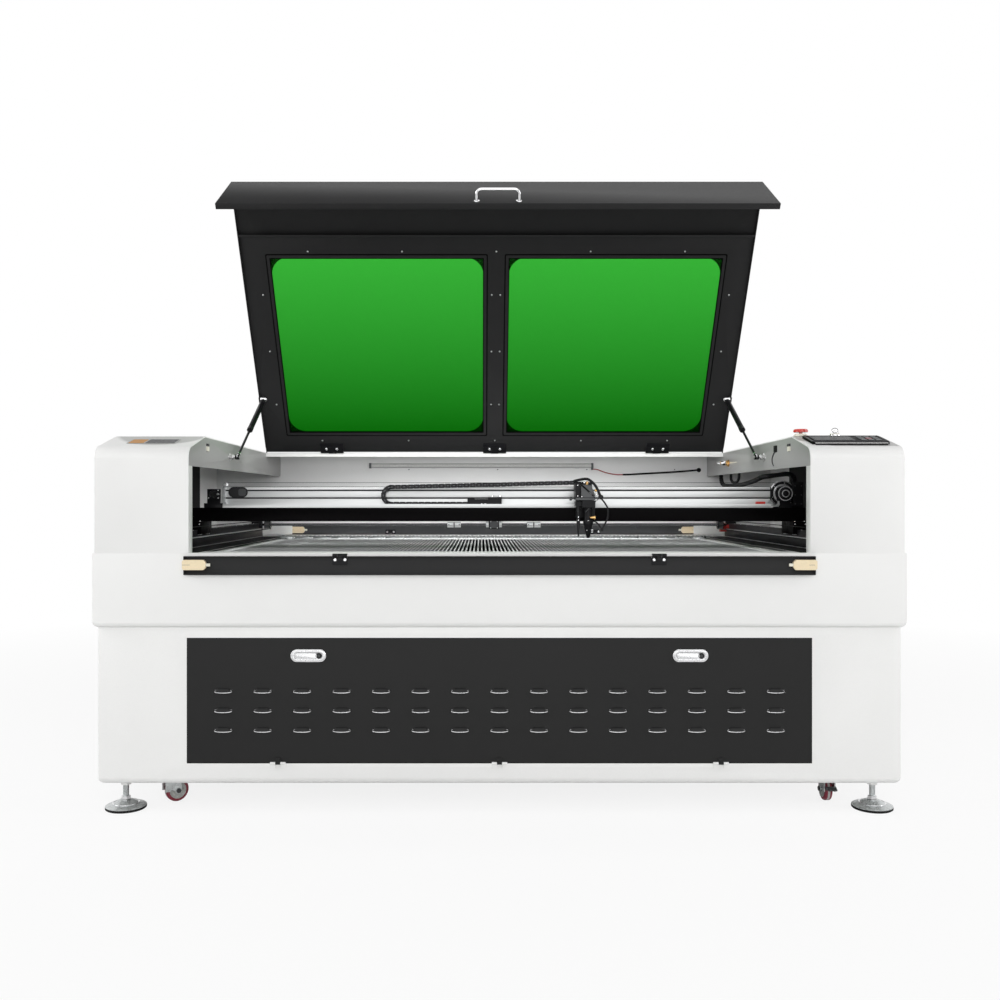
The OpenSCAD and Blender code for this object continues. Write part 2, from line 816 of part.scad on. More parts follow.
module wall_fittings() {
    x = half_open;
    proud = lid_gap - 0.6;
    color([0.72, 0.66, 0.50]) translate([x, y_air_fitting, z_deck - 42]) {
        x_rod(22, -10, 0);
        x_rod(12, -24, -10);
        translate([-18, 0, 0]) y_rod(10, -28, 0);
    }
    color([0.10, 0.10, 0.11]) translate([x, y_socket, z_deck - 20]) x_rod(20, -proud, 0);
    color([0.92, 0.92, 0.90]) for (s = [-1, 1]) translate([s * x, y_limit, z_deck - 21])
        block([s > 0 ? -proud : 0, -10, -9], [s > 0 ? 0 : proud, 10, 9]);
    color([0.10, 0.10, 0.11]) translate([half_open - 32, y_wall, lead_z]) y_rod(16, -8, 0);
}

module swept_tube(path, r, sides) {
    n = len(path);
    ring = [for (k = [0:n - 1]) let(
        a = path[max(k - 1, 0)],
        b = path[min(k + 1, n - 1)],
        t = (b - a) / norm(b - a),
        side = abs(t[0]) < 0.9 ? [1, 0, 0] : [0, 1, 0],
        u = cross(t, side) / norm(cross(t, side)),
        v = cross(t, u)
    ) [for (j = [0:sides - 1]) path[k] + r * (cos(j * 360 / sides) * u + sin(j * 360 / sides) * v)]];
    points = [for (k = ring) for (p = k) p];
    quads = [for (k = [0:n - 2]) for (j = [0:sides - 1]) let(m = (j + 1) % sides)
        [k * sides + j, k * sides + m, (k + 1) * sides + m, (k + 1) * sides + j]];
    caps = [[for (j = [sides - 1:-1:0]) j], [for (j = [0:sides - 1]) (n - 1) * sides + j]];
    polyhedron(points = points, faces = concat(caps, quads));
}

module lamp_lead() {
    color([0.6, 0.1, 0.1])
        swept_tube([for (p = lamp_lead_route) [p[0], y_wall - 6, lead_z + p[1]]], 2, 8);
}

module gantry_harness() {
    color([0.08, 0.08, 0.09])
        swept_tube([for (p = harness_route) [half_open + sheet_t / 2 + p[0], p[1], z_cheek + p[2]]],
                   harness_d / 2, 10);
}

module y_motor() {
    color([0.12, 0.12, 0.13]) translate([0, y_shaft, 0]) difference() {
        union() {
            block([-20, -17, z_shaft - 17], [20, 42, z_shaft + 17]);
            block([-28, 40, z_slot + 1], [28, y_wall - y_shaft, z_slot + 26]);
        }
        translate([0, 0, z_shaft]) x_rod(shaft_d + 0.16, -30, 30);
    }
}

module drive_shaft() {
    color([0.78, 0.79, 0.80]) translate([0, y_shaft, z_shaft]) {
        x_rod(shaft_d, -y_rail_x + 30, y_rail_x - 30);
        both_sides() {
            x_rod(coupling_d, coupling_x, coupling_x + coupling_l);
            x_rod(2 * pulley_r, half_open + 26, half_open + 44);
            x_rod(2 * pulley_r + 4, half_open + 24, half_open + 26);
            x_rod(2 * pulley_r + 4, half_open + 44, half_open + 46);
        }
    }
}

module at_lid() {
    translate([0, y_hinge, z_deck]) rotate([-lid_open, 0, 0]) children();
}

module window_places() {
    for (s = [-1, 1])
        translate([s * (mullion_w + window_w) / 2, -window_u - window_l / 2, 0]) children();
}

module lid_shell() {
    fold = 18;
    y1 = -lid_l;
    color([0.13, 0.13, 0.14]) at_lid() {
        difference() {
            block([-half_lid, y1, -skin_t], [half_lid, -4, 0]);
            window_places() translate([0, 0, -skin_t - eps]) linear_extrude(skin_t + 2 * eps)
                rounded_2d(window_w, window_l, window_r);
        }
        for (s = [-1, 1])
            block([min(s * half_lid, s * (half_lid - skin_t)), y1, -lid_flange],
                  [max(s * half_lid, s * (half_lid - skin_t)), -4, 0]);
        block([-half_lid, y1, -apron_h], [half_lid, y1 + skin_t, 0]);
        block([-half_lid, y1, -apron_h], [half_lid, y1 + fold, -apron_h + skin_t]);
        for (s = [-1, 1])
            block([min(s * half_lid, s * (half_lid - skin_t)), y1, -apron_h],
                  [max(s * half_lid, s * (half_lid - skin_t)), y1 + fold, 0]);
    }
}

module lid_frame() {
    y_end = -window_u - window_l - 73;
    z1 = -skin_t - pane_t - touch;
    color([0.15, 0.15, 0.16]) at_lid() {
        difference() {
            block([-half_lid + skin_t + touch, y_end, z1 - frame_t],
                  [half_lid - skin_t - touch, -10, z1]);
            window_places() translate([-window_w / 2, -window_l / 2, z1 - frame_t - eps])
                cube([window_w, window_l, frame_t + 2 * eps]);
        }
        for (y = [y_end, -10 - frame_t])
            block([-half_lid + skin_t + touch, y, z1], [half_lid - skin_t - touch, y + frame_t, -skin_t]);
        block([-half_lid + skin_t + touch, y_end - 8, z1 - 14],
              [half_lid - skin_t - touch, y_end, z1 - 11]);
        block([-half_lid + skin_t + touch, y_end - 2, z1 - 14],
              [half_lid - skin_t - touch, y_end, z1]);
        both_sides() {
            block([strut_x + 13.5, -strut_u - 10, -strut_w - 8],
                  [strut_x + 16.5, -strut_u + 10, z1]);
            translate([0, -strut_u, -strut_w]) x_rod(strut_rod_d, strut_x + 9.3, strut_x + 14);
        }
    }
}

module lid_windows() {
    lap = 11;
    color([0.05, 0.55, 0.10, 0.7]) at_lid() window_places()
        translate([-window_w / 2 - lap, -window_l / 2 - lap, -skin_t - pane_t])
            cube([window_w + 2 * lap, window_l + 2 * lap, pane_t]);
}

module lid_handle() {
    half = handle_w / 2 - handle_d / 2;
    bend = 16;
    color([0.78, 0.79, 0.80]) at_lid()
        translate([0, -lid_l, -apron_h + handle_up]) both_sides() {
            translate([half, -handle_h + handle_d / 2 + bend, 0])
                y_rod(handle_d, 0, handle_h - handle_d / 2 - bend);
            translate([half - bend, -handle_h + handle_d / 2 + bend, 0])
                rotate([0, 0, -90]) rotate_extrude(angle = 90)
                    translate([bend, 0]) circle(d = handle_d);
            translate([0, -handle_h + handle_d / 2, 0]) x_rod(handle_d, 0, half - bend);
            translate([half, -3, 0]) y_rod(handle_d + 6, 0, 3);
        }
}

module lid_hinges() {
    half = lid_hinge_w / 6 - 0.2;
    z_under = -skin_t - pane_t - touch - frame_t;
    color([0.20, 0.20, 0.21]) at_lid() for (x = lid_hinge_x) translate([x, 0, 0]) {
        difference() {
            x_rod(lid_knuckle_d, -half, half);
            x_rod(lid_pin_d + 0.16, -lid_hinge_w, lid_hinge_w);
        }
        block([-half, -8, -5.5], [half, -1, -2.8]);
        block([-half, -8, z_under - 2], [half, -5, -2.8]);
        block([-lid_hinge_w / 2, -46, z_under - 2], [lid_hinge_w / 2, -5, z_under]);
    }
}

module at_strut() {
    translate([strut_x, strut_low[0], strut_low[1]]) rotate([strut_a, 0, 0]) children();
}

module strut_rod() {
    color([0.80, 0.81, 0.82]) at_strut() difference() {
        union() {
            y_rod(strut_rod_d, 0, strut_rod_l);
            x_rod(strut_rod_d + 8, -6, 6);
            y_rod(strut_rod_d + 3, 6, 18);
        }
        x_rod(strut_rod_d + 0.16, -8, 8);
    }
}

module strut_tube() {
    mouth = strut_len - strut_tube_l - strut_neck;
    color([0.08, 0.08, 0.09]) at_strut() {
        difference() {
            translate([0, mouth, 0]) y_rod(strut_d, 0, strut_tube_l);
            y_rod(strut_rod_d + 0.16, mouth - eps, strut_len - strut_neck - 6);
        }
        y_rod(strut_rod_d, strut_len - strut_neck, strut_len - 4);
        translate([0, strut_len, 0]) x_rod(strut_rod_d + 6, -6, 9);
    }
}

module left_strut_rod() { mirror([1, 0, 0]) strut_rod(); }
module left_strut_tube() { mirror([1, 0, 0]) strut_tube(); }
module right_strut_rod() { strut_rod(); }
module right_strut_tube() { strut_tube(); }

module flap_panel(up) {
    seg = flap_hinge_w / 3;
    z0 = up ? flap_gap : -flap_gap - flap_h;
    difference() {
        block([-flap_w / 2, -flap_t / 2, z0], [flap_w / 2, flap_t / 2, z0 + flap_h]);
        block([-flap_w / 2 + 2, -flap_t / 2 - eps, z0 + 2],
              [flap_w / 2 - 2, flap_t / 2 - 2, z0 + flap_h - 2]);
        for (s = [-1, 1], k = [-1, 1])
            translate([s * flap_hinge_x + k * seg, 0, 0])
                block([-seg / 2 - 0.3, -flap_t, -9], [seg / 2 + 0.3, flap_t, 9]);
        for (s = [-1, 1]) translate([s * flap_hinge_x, 0, 0])
            x_rod(flap_pin_d + 0.16, -seg, seg);
    }
    for (s = [-1, 1]) translate([s * flap_hinge_x, 0, 0]) difference() {
        union() {
            x_rod(knuckle_d, -seg / 2 + 0.1, seg / 2 - 0.1);
            block([-seg / 2 + 0.1, -3, up ? 0 : -12], [seg / 2 - 0.1, 3, up ? 12 : 0]);
        }
        x_rod(flap_pin_d + 0.16, -seg, seg);
    }
}

module front_flap() {
    color([0.13, 0.13, 0.14])
        translate([0, y_front - flap_out, flap_axis_z]) flap_panel(false);
}

module rear_flap() {
    color([0.13, 0.13, 0.14])
        translate([0, y_rear + flap_out, flap_axis_z]) flap_panel(true);
}

module catches(y0, y1, z0, z1) {
    color([0.90, 0.83, 0.68]) both_sides()
        block([flap_w / 2 - catch_w, y0, z0], [flap_w / 2 - 2, y1, z1]);
}

module front_flap_catches() {
    zc = flap_axis_z - flap_gap - flap_h;
    catches(y_front - 2 * flap_out + touch, y_front - flap_out + flap_t / 2 - 2,
            zc + 12, zc + flap_h - 12);
}

module rear_flap_catches() {
    zc = flap_axis_z + flap_gap;
    catches(y_rear + touch, y_rear + flap_out + flap_t / 2 - 2, zc + 12, zc + flap_h - 12);
}

module louvre() {
    half = louvre_l / 2 - louvre_r;
    sink = 5;
    wall = 1.5;
    translate([0, sink, 0]) intersection() {
        difference() {
            union() {
                x_rod(2 * louvre_r, -half, half);
                for (s = [-1, 1]) translate([s * half, 0, 0]) sphere(louvre_r);
            }
            x_rod(2 * (louvre_r - wall), -half, half);
            for (s = [-1, 1]) translate([s * half, 0, 0]) sphere(louvre_r - wall);
        }
        block([-louvre_l, -louvre_r - eps, 0], [louvre_l, -sink, louvre_r + eps]);
    }
}

module louvre_places() {
    for (row = [0:louvre_rows - 1], k = [0:louvre_n - 1])
        translate([(k - (louvre_n - 1) / 2) * louvre_pitch, y_base_front,
                   door_z + louvre_z + row * louvre_row_pitch - louvre_row_pitch / 2]) children();
}

module cabinet_door() {
    half = door_w / 2;
    color([0.15, 0.15, 0.16]) {
        difference() {
            block([-half, y_base_front, door_z], [half, y_base_front + door_d, door_z + door_h]);
            block([-half + door_sheet, y_base_front + door_sheet, door_z + door_sheet],
                  [half - door_sheet, y_base_front + door_d + eps, door_z + door_h - door_sheet]);
            louvre_places() block([-louvre_l / 2 + 6, -eps, 0], [louvre_l / 2 - 6, door_sheet + eps, 8]);
            for (s = [-1, 1]) translate([s * latch_x, y_base_front - eps, door_z + latch_z])
                translate([0, door_sheet + 2 * eps, 0]) rotate([90, 0, 0])
                    linear_extrude(door_sheet + 2 * eps) slot_2d(latch_l - 20, latch_h - 10);
        }
        louvre_places() louvre();
        for (x = door_hinge_x) translate([x, 0, 0]) difference() {
            door_knuckle(1);
            translate([0, y_door_axis, z_door_axis])
                x_rod(door_pin_d + 0.16, -door_hinge_w, door_hinge_w);
        }
    }
}

module at_latch(s) {
    translate([s * latch_x, y_base_front, door_z + latch_z]) children();
}

module paddle_pin(d, half) {
    translate([-latch_l / 2 + 10, -4.5, -half]) cylinder(d = d, h = 2 * half);
}

module latch_bodies() {
    color([0.78, 0.79, 0.80]) for (s = [-1, 1]) at_latch(s) {
        difference() {
            union() {
                xz_extrude(-5, 0) slot_2d(latch_l, latch_h);
                xz_extrude(0, 14) slot_2d(latch_l - 22, latch_h - 12);
            }
            xz_extrude(-6, -1.2) slot_2d(latch_l - 16, latch_h - 12);
            paddle_pin(2.3, 7.5);
        }
        translate([latch_l / 2 - 17, 0, 0]) y_rod(9, -3.5, -1);
    }
}

module paddle(s) {
    color([0.82, 0.83, 0.84]) at_latch(s) {
        xz_extrude(-5.5, -1.5) intersection() {
            slot_2d(latch_l - 18, latch_h - 14);
            translate([-latch_l / 2, -latch_h / 2]) square([latch_l - 26, latch_h]);
        }
        paddle_pin(2, 7);
    }
}

module gantry_rail() {
    yb = y_rail_front + rail_d;
    groove = 4;
    color([0.80, 0.81, 0.82]) yz_extrude(-rail_half, rail_half) difference() {
        union() {
            translate([y_rail_front, z_rail]) square([rail_d, rail_h]);
            translate([y_beam, z_rail]) square([15, lip_h]);
            translate([y_beam, z_rail]) square([lip_edge_t, lip_edge_h]);
        }
        for (z = [rail_h * 0.43, rail_h * 0.80])
            translate([y_rail_front - eps, z_rail + z]) square([groove + eps, 5]);
        translate([y_rail_front + 8, z_rail + 14]) square([rail_d - 16, 14]);
        translate([y_rail_front + 8, z_rail + 38]) square([rail_d - 16, 14]);
        translate([yb - groove, z_rail + rail_h / 2 - 3]) square([groove + eps, 6]);
    }
}

module gantry_beam() {
    truck_z = z_top + y_rail_low + 5;
    color([0.09, 0.09, 0.10]) {
        block([-beam_half, y_beam, z_beam], [beam_half, y_beam + beam_d, z_rail]);
        both_sides() difference() {
            block([y_rail_x - truck_w / 2, y_beam + beam_d / 2 - truck_l / 2, truck_z],
                  [y_rail_x + truck_w / 2, y_beam + beam_d / 2 + truck_l / 2, z_beam]);
            block([y_rail_x - 10.5, y_beam - truck_l, truck_z - eps],
                  [y_rail_x + 10.5, y_beam + 2 * truck_l, z_top + y_rail_low + y_rail_high + 0.5]);
        }
    }
}

module mirror_mount() {
    xm = -beam_half + 78;
    mirror_d = 24;
    color([0.10, 0.10, 0.11]) translate([xm, y_beam, z_rail]) difference() {
        union() {
            block([-21, 0, 0], [18, 12, 58]);
            block([-31, 0, 0], [26, 45, 14]);
            block([-19, -6, 25], [16, 0, 57]);
        }
        translate([-1, 0, 42]) y_rod(mirror_d, -7, 13);
    }
    color([0.82, 0.83, 0.84]) translate([xm - 1, y_beam, z_rail + 42]) y_rod(mirror_d, -5, 2);
}

module x_motor() {
    r = x_motor_d / 2;
    plug_x = r + 3;
    plug_h = 80;
    color([0.14, 0.14, 0.15]) translate([x_motor_x, y_beam, z_rail]) {
        block([-24, 4, 0], [24, 46, 14]);
        block([-18, 4, 0], [18, 34, 6 + r]);
        translate([0, -4, 6 + r]) y_rod(0.6 * x_motor_d, 0, 40);
        block([plug_x - 13, 10, 0], [plug_x + 18, 44, plug_h]);
        block([18, 10, 0], [plug_x, 44, 14]);
    }
    color([0.78, 0.79, 0.80]) translate([x_motor_x, y_beam, z_rail + 6 + r]) {
        y_rod(x_motor_d, 30, 42);
        y_rod(16, -10, 0);
    }
}

module chain_link_box(x, z, a) {
    translate([x, chain_y0, z]) rotate([0, -a, 0])
        translate([-chain_pitch * 0.42, 0, -chain_h / 2]) cube([chain_pitch * 0.84, chain_w, chain_h]);
}

module drag_chain() {
    zl = z_chain_low + chain_h / 2;
    zh = zl + 2 * chain_r + 6;
    zc = (zl + zh) / 2;
    rc = (zh - zl) / 2;
    x_end = head_x - 35 - chain_pitch * 0.42;
    rise = z_carriage + 13 - zh;
    up_a = atan(rise / (x_end - chain_bend_x));
    low_n = floor((chain_end_x - chain_bend_x) / chain_pitch);
    up_n = floor((x_end - chain_bend_x) / cos(up_a) / chain_pitch);
    color([0.10, 0.10, 0.11]) {
        for (k = [0:low_n]) chain_link_box(chain_bend_x + k * chain_pitch, zl, 0);
        block([chain_bend_x, chain_y0 + 2, zl - chain_core / 2],
              [chain_end_x, chain_y0 + chain_w - 2, zl + chain_core / 2]);
        for (a = [-60, -30, 0, 30, 60])
            chain_link_box(chain_bend_x - rc * cos(a), zc + rc * sin(a), 90 - a);
        translate([chain_bend_x, chain_y0 + chain_w - 2, zc]) rotate([90, 0, 0])
            linear_extrude(chain_w - 4) difference() {
                circle(rc + chain_core / 2);
                circle(rc - chain_core / 2);
                translate([0, -2 * rc]) square(4 * rc);
            }
        translate([chain_bend_x, 0, zh]) rotate([0, -up_a, 0]) translate([-chain_bend_x, 0, -zh]) {
            for (k = [0:up_n]) chain_link_box(chain_bend_x + k * chain_pitch, zh, 0);
            block([chain_bend_x, chain_y0 + 2, zh - chain_core / 2],
                  [x_end, chain_y0 + chain_w - 2, zh + chain_core / 2]);
        }
        block([chain_end_x, chain_y0, z_chain_low],
              [chain_end_x + 106, y_rail_front - chain_gap, z_chain_low + 18]);
    }
}

module carriage() {
    y_plate = y_beam - 8;
    plate_t = 7;
    color([0.22, 0.22, 0.24]) {
        block([head_x - 34, y_plate, z_rail - 30], [head_x + 34, y_plate + plate_t, z_carriage + 16]);
        block([head_x - 34, y_plate, z_carriage],
              [head_x + 34, y_rail_front + rail_d + 8, z_carriage + 16]);
        block([head_x - 34, y_rail_front + rail_d + 0.5, z_rail + 30],
              [head_x + 34, y_rail_front + rail_d + 8, z_carriage + 1]);
    }
    color([0.16, 0.16, 0.17]) difference() {
        union() {
            block([head_x - 20, y_head - 22, z_lens_top - 26], [head_x + 20, y_plate, z_lens_top - 4]);
            block([pen_x - 10, y_head - 10, z_lens_top - 22], [head_x - 20, y_plate, z_lens_top - 6]);
        }
        translate([head_x, y_head, 0]) cylinder(d = lens_d + 0.16, h = z_ridge);
        translate([pen_x, y_head, 0]) cylinder(d = pen_d + 0.16, h = z_ridge);
    }
    color([0.24, 0.25, 0.27]) translate([head_x + 22, y_head + 30, 0]) rotate([0, 0, 180])
        yz_extrude(0, 3) polygon([
            [-7, z_lens_top - 26], [52, z_lens_top - 26], [52, z_lens_top - 10], [-7, z_rail_top + 6]
        ]);
    color([0.75, 0.76, 0.78]) translate([head_x, y_head - 21, z_lens_top - 15]) y_rod(16, -12, 0);
}

module lens_tube() {
    color([0.12, 0.12, 0.13]) translate([head_x, y_head, 0]) difference() {
        union() {
            translate([0, 0, z_lens_low]) cylinder(d = lens_d, h = z_lens_top + 14 - z_lens_low);
            translate([0, 0, z_nozzle]) cylinder(d1 = 8, d2 = lens_d, h = z_lens_low - z_nozzle);
            translate([0, 0, z_lens_low + 8]) cylinder(d = lens_d + 5, h = 14);
            translate([0, 0, z_lens_top + 4]) cylinder(d = lens_d + 6, h = 10);
        }
        translate([0, 0, z_lens_low]) cylinder(d = lens_bore, h = 200);
        translate([0, 0, z_nozzle - eps]) cylinder(d = 4, h = 60);
    }
}

module focus_pen() {
    z0 = z_nozzle + 4;
    color([0.12, 0.12, 0.13]) translate([pen_x, y_head, 0]) {
        translate([0, 0, z0]) cylinder(d1 = 3, d2 = pen_d, h = 26);
        translate([0, 0, z0 + 26]) cylinder(d = pen_d, h = z_lens_top + 10 - z0 - 26);
        translate([0, 0, z_lens_top - 6 + touch]) cylinder(d = pen_d + 4, h = 10);
    }
}

module estop_button() {
    color([0.80, 0.16, 0.14]) translate([estop_x, y_switch, z_switch]) {
        translate([0, 0, 12.5]) rotate_extrude() {
            square([estop_d / 2 - 3, 9]);
            translate([estop_d / 2 - 3, 0]) square([3, 6]);
            translate([estop_d / 2 - 3, 6]) intersection() {
                circle(3);
                square(3);
            }
        }
        translate([0, 0, -12]) cylinder(d = 10, h = 28);
    }
}

module switch_key() {
    color([0.80, 0.79, 0.74]) translate([key_x, y_switch, z_switch]) {
        translate([0, 0, -10]) cylinder(d = 6, h = 20);
        translate([0, 1.2, 9]) rotate([90, 0, 0]) linear_extrude(2.4) difference() {
            circle(12);
            translate([0, 5]) circle(4);
            translate([-13, -13.5]) square([26, 13]);
        }
    }
}

base_cabinet();
mid_body();
left_housing();
right_housing();
rear_housing();
side_cheeks();
rear_wall();
bed_frame();
honeycomb_bed();
y_rails();
control_panel();
switch_bases();
led_lamp();
lamp_lead();
laser_tube();
electronics();
exhaust_outlet();
wall_fittings();
y_motor();
lid_shell();
lid_frame();
lid_windows();
lid_handle();
lid_hinges();
left_strut_rod();
left_strut_tube();
right_strut_rod();
right_strut_tube();
front_flap();
front_flap_catches();
rear_flap();
rear_flap_catches();
cabinet_door();
latch_bodies();
paddle(-1);  // left_latch_paddle
paddle(1);  // right_latch_paddle
gantry_rail();
gantry_beam();
mirror_mount();
x_motor();
drag_chain();
gantry_harness();
carriage();
lens_tube();
focus_pen();
drive_shaft();
estop_button();
switch_key();
fork(0);  // caster_fork_1
fork(1);  // caster_fork_2
fork(2);  // caster_fork_3
fork(3);  // caster_fork_4
wheel(0);  // caster_wheel_1
wheel(1);  // caster_wheel_2
wheel(2);  // caster_wheel_3
wheel(3);  // caster_wheel_4
foot(0);  // foot_1
foot(1);  // foot_2
foot(2);  // foot_3
foot(3);  // foot_4
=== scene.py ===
from math import atan2, cos, pi, radians, sin, tau
import json

import bmesh
import bpy
from mathutils import Matrix, Vector

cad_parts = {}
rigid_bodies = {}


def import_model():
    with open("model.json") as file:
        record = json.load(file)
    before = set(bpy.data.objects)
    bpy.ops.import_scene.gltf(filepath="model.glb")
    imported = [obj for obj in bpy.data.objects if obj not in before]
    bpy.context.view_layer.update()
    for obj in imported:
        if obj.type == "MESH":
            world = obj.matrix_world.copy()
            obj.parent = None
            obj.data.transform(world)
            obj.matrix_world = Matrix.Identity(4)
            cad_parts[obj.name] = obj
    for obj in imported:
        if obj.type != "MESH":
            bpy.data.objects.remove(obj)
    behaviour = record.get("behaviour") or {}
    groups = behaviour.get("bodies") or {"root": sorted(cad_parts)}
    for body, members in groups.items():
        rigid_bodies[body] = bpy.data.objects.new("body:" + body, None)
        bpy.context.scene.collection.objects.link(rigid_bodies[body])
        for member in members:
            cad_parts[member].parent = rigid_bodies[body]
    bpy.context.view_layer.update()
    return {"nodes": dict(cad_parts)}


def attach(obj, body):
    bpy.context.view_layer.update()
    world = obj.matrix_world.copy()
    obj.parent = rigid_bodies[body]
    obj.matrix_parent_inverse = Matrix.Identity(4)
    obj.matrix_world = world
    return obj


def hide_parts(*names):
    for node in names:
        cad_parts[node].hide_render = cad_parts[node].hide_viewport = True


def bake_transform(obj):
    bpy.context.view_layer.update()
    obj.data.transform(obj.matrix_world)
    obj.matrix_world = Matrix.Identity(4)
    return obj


for stray in list(bpy.data.objects):  # the start-up cube, lamp and camera
    bpy.data.objects.remove(stray)
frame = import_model()
mm = 0.001
print("frame loaded")

# studio
studio = {
    "eye": (-0.05, -3.47, 0.85), "lens": 36.27, "shiftX": 0.019,
    "floorHalf": 30.0, "floorTone": 0.92, "floorGlow": 0.84, "floorFade": (1.5, 4.5),
    "ambient": 0.34,
    "lamps": (  # name, place, aim, width, height, watts
        ("frontSoftbox", (0.0, -4.9, 2.9), (0.0, 0.2, 0.95), 6.0, 2.2, 73),
        ("lowFill", (0.0, -5.0, 0.75), (0.0, 0.0, 0.7), 5.0, 1.2, 38),
        ("overhead", (0.0, 0.1, 4.0), (0.0, 0.0, 0.8), 3.6, 2.4, 11),
        ("leftStrip", (-4.2, -1.4, 2.0), (0.0, 0.0, 0.8), 0.9, 2.6, 56),
        ("rightStrip", (4.2, -1.4, 2.0), (0.0, 0.0, 0.8), 0.9, 2.6, 56),
        ("rearSoftbox", (0.0, 4.4, 2.8), (0.0, 0.4, 0.7), 3.0, 1.6, 24),
        ("bedWash", (0.0, -0.55, 1.22), (0.0, -0.05, 0.70), 1.5, 0.20, 3.2),
        ("wallWash", (0.0, -0.16, 1.000), (0.0, 0.50, 0.90), 1.5, 0.10, 2.4),
        ("flapWash", (0.0, 0.530, 0.735), (0.0, 0.75, 0.728), 1.6, 0.03, 2.2),
    ),
}


def addNode(tree, kind, inputs=None, **settings):
    made = tree.nodes.new(kind)
    for key, value in settings.items():
        setattr(made, key, value)
    for key, value in (inputs or {}).items():
        if isinstance(value, bpy.types.NodeSocket):
            tree.links.new(value, made.inputs[key])
        else:
            made.inputs[key].default_value = value
    return made


def mapRange(tree, value, low, high, toLow=0.0, toHigh=1.0):
    return addNode(tree, "ShaderNodeMapRange", {"Value": value, "From Min": low, "From Max": high,
                                                "To Min": toLow, "To Max": toHigh}).outputs[0]


def stageObject(name, data, place=(0, 0, 0), turn=(0, 0, 0)):
    made = bpy.data.objects.new(name, data)
    made.location, made.rotation_euler = place, turn
    bpy.context.scene.collection.objects.link(made)
    return made


def whiteForLenses(tree, strength):  # 1 where the camera, gloss or glass looks, else strength
    path = addNode(tree, "ShaderNodeLightPath")
    total = path.outputs["Is Camera Ray"]
    for name in ("Is Glossy Ray", "Is Transmission Ray"):
        total = addNode(tree, "ShaderNodeMath", {0: total, 1: path.outputs[name]},
                        operation="MAXIMUM").outputs[0]
    return mapRange(tree, total, 0.0, 1.0, strength, 1.0)


def buildLights():
    scene = bpy.context.scene
    scene.view_settings.view_transform = "Standard"
    world = bpy.data.worlds.new("studioAir")
    scene.world = world
    world.use_nodes = True
    back = world.node_tree.nodes["Background"]
    back.inputs["Color"].default_value = (1, 1, 1, 1)
    world.node_tree.links.new(whiteForLenses(world.node_tree, studio["ambient"]),
                              back.inputs["Strength"])
    for name, place, aim, width, height, watts in studio["lamps"]:
        lamp = bpy.data.lights.new(name, "AREA")
        lamp.shape, lamp.size, lamp.size_y, lamp.energy = "RECTANGLE", width, height, watts
        holder = stageObject(name, lamp, place,
                             (Vector(aim) - Vector(place)).to_track_quat("-Z", "Y").to_euler())
        holder.visible_camera = holder.visible_transmission = False
        holder.visible_glossy = not name.endswith("Wash")


def buildFloor():  # pale where it takes shadows, white where it ends
    reach, tone = studio["floorHalf"], studio["floorTone"]
    sheet = bpy.data.meshes.new("studioFloor")
    sheet.from_pydata([(-reach, -reach, 0), (reach, -reach, 0), (reach, reach, 0), (-reach, reach, 0)],
                      [], [(0, 1, 2, 3)])
    pale = bpy.data.materials.new("paleFloor")
    pale.use_nodes = True
    tree = pale.node_tree
    tree.nodes.remove(tree.nodes["Principled BSDF"])
    dull = addNode(tree, "ShaderNodeBsdfDiffuse", {"Color": (tone, tone, tone, 1)})
    glow = addNode(tree, "ShaderNodeEmission", {"Color": (1, 1, 1, 1), "Strength": 1.0})
    path = addNode(tree, "ShaderNodeLightPath")
    place = addNode(tree, "ShaderNodeTexCoord")
    away = addNode(tree, "ShaderNodeVectorMath", {0: place.outputs["Object"]}, operation="LENGTH")
    fade = mapRange(tree, away.outputs["Value"], *studio["floorFade"], studio["floorGlow"], 1.0)
    share = addNode(tree, "ShaderNodeMath", {0: path.outputs["Is Camera Ray"], 1: fade},
                    operation="MULTIPLY")
    mix = addNode(tree, "ShaderNodeMixShader",
                  {0: share.outputs[0], 1: dull.outputs[0], 2: glow.outputs[0]})
    tree.links.new(mix.outputs[0], tree.nodes["Material Output"].inputs["Surface"])
    sheet.materials.append(pale)
    stageObject("studioFloor", sheet)


def buildCamera():
    camera = bpy.data.cameras.new("frontCamera")
    camera.lens, camera.sensor_width, camera.shift_x = studio["lens"], 36.0, studio["shiftX"]
    camera.clip_start, camera.clip_end = 0.05, 100.0
    bpy.context.scene.camera = stageObject("frontCamera", camera, studio["eye"], (radians(90), 0, 0))


buildLights()
buildFloor()
buildCamera()
print("studio and camera set")


# finishes
def tinted(colour, share):
    return (*[min(1.0, channel * share) for channel in colour], 1)


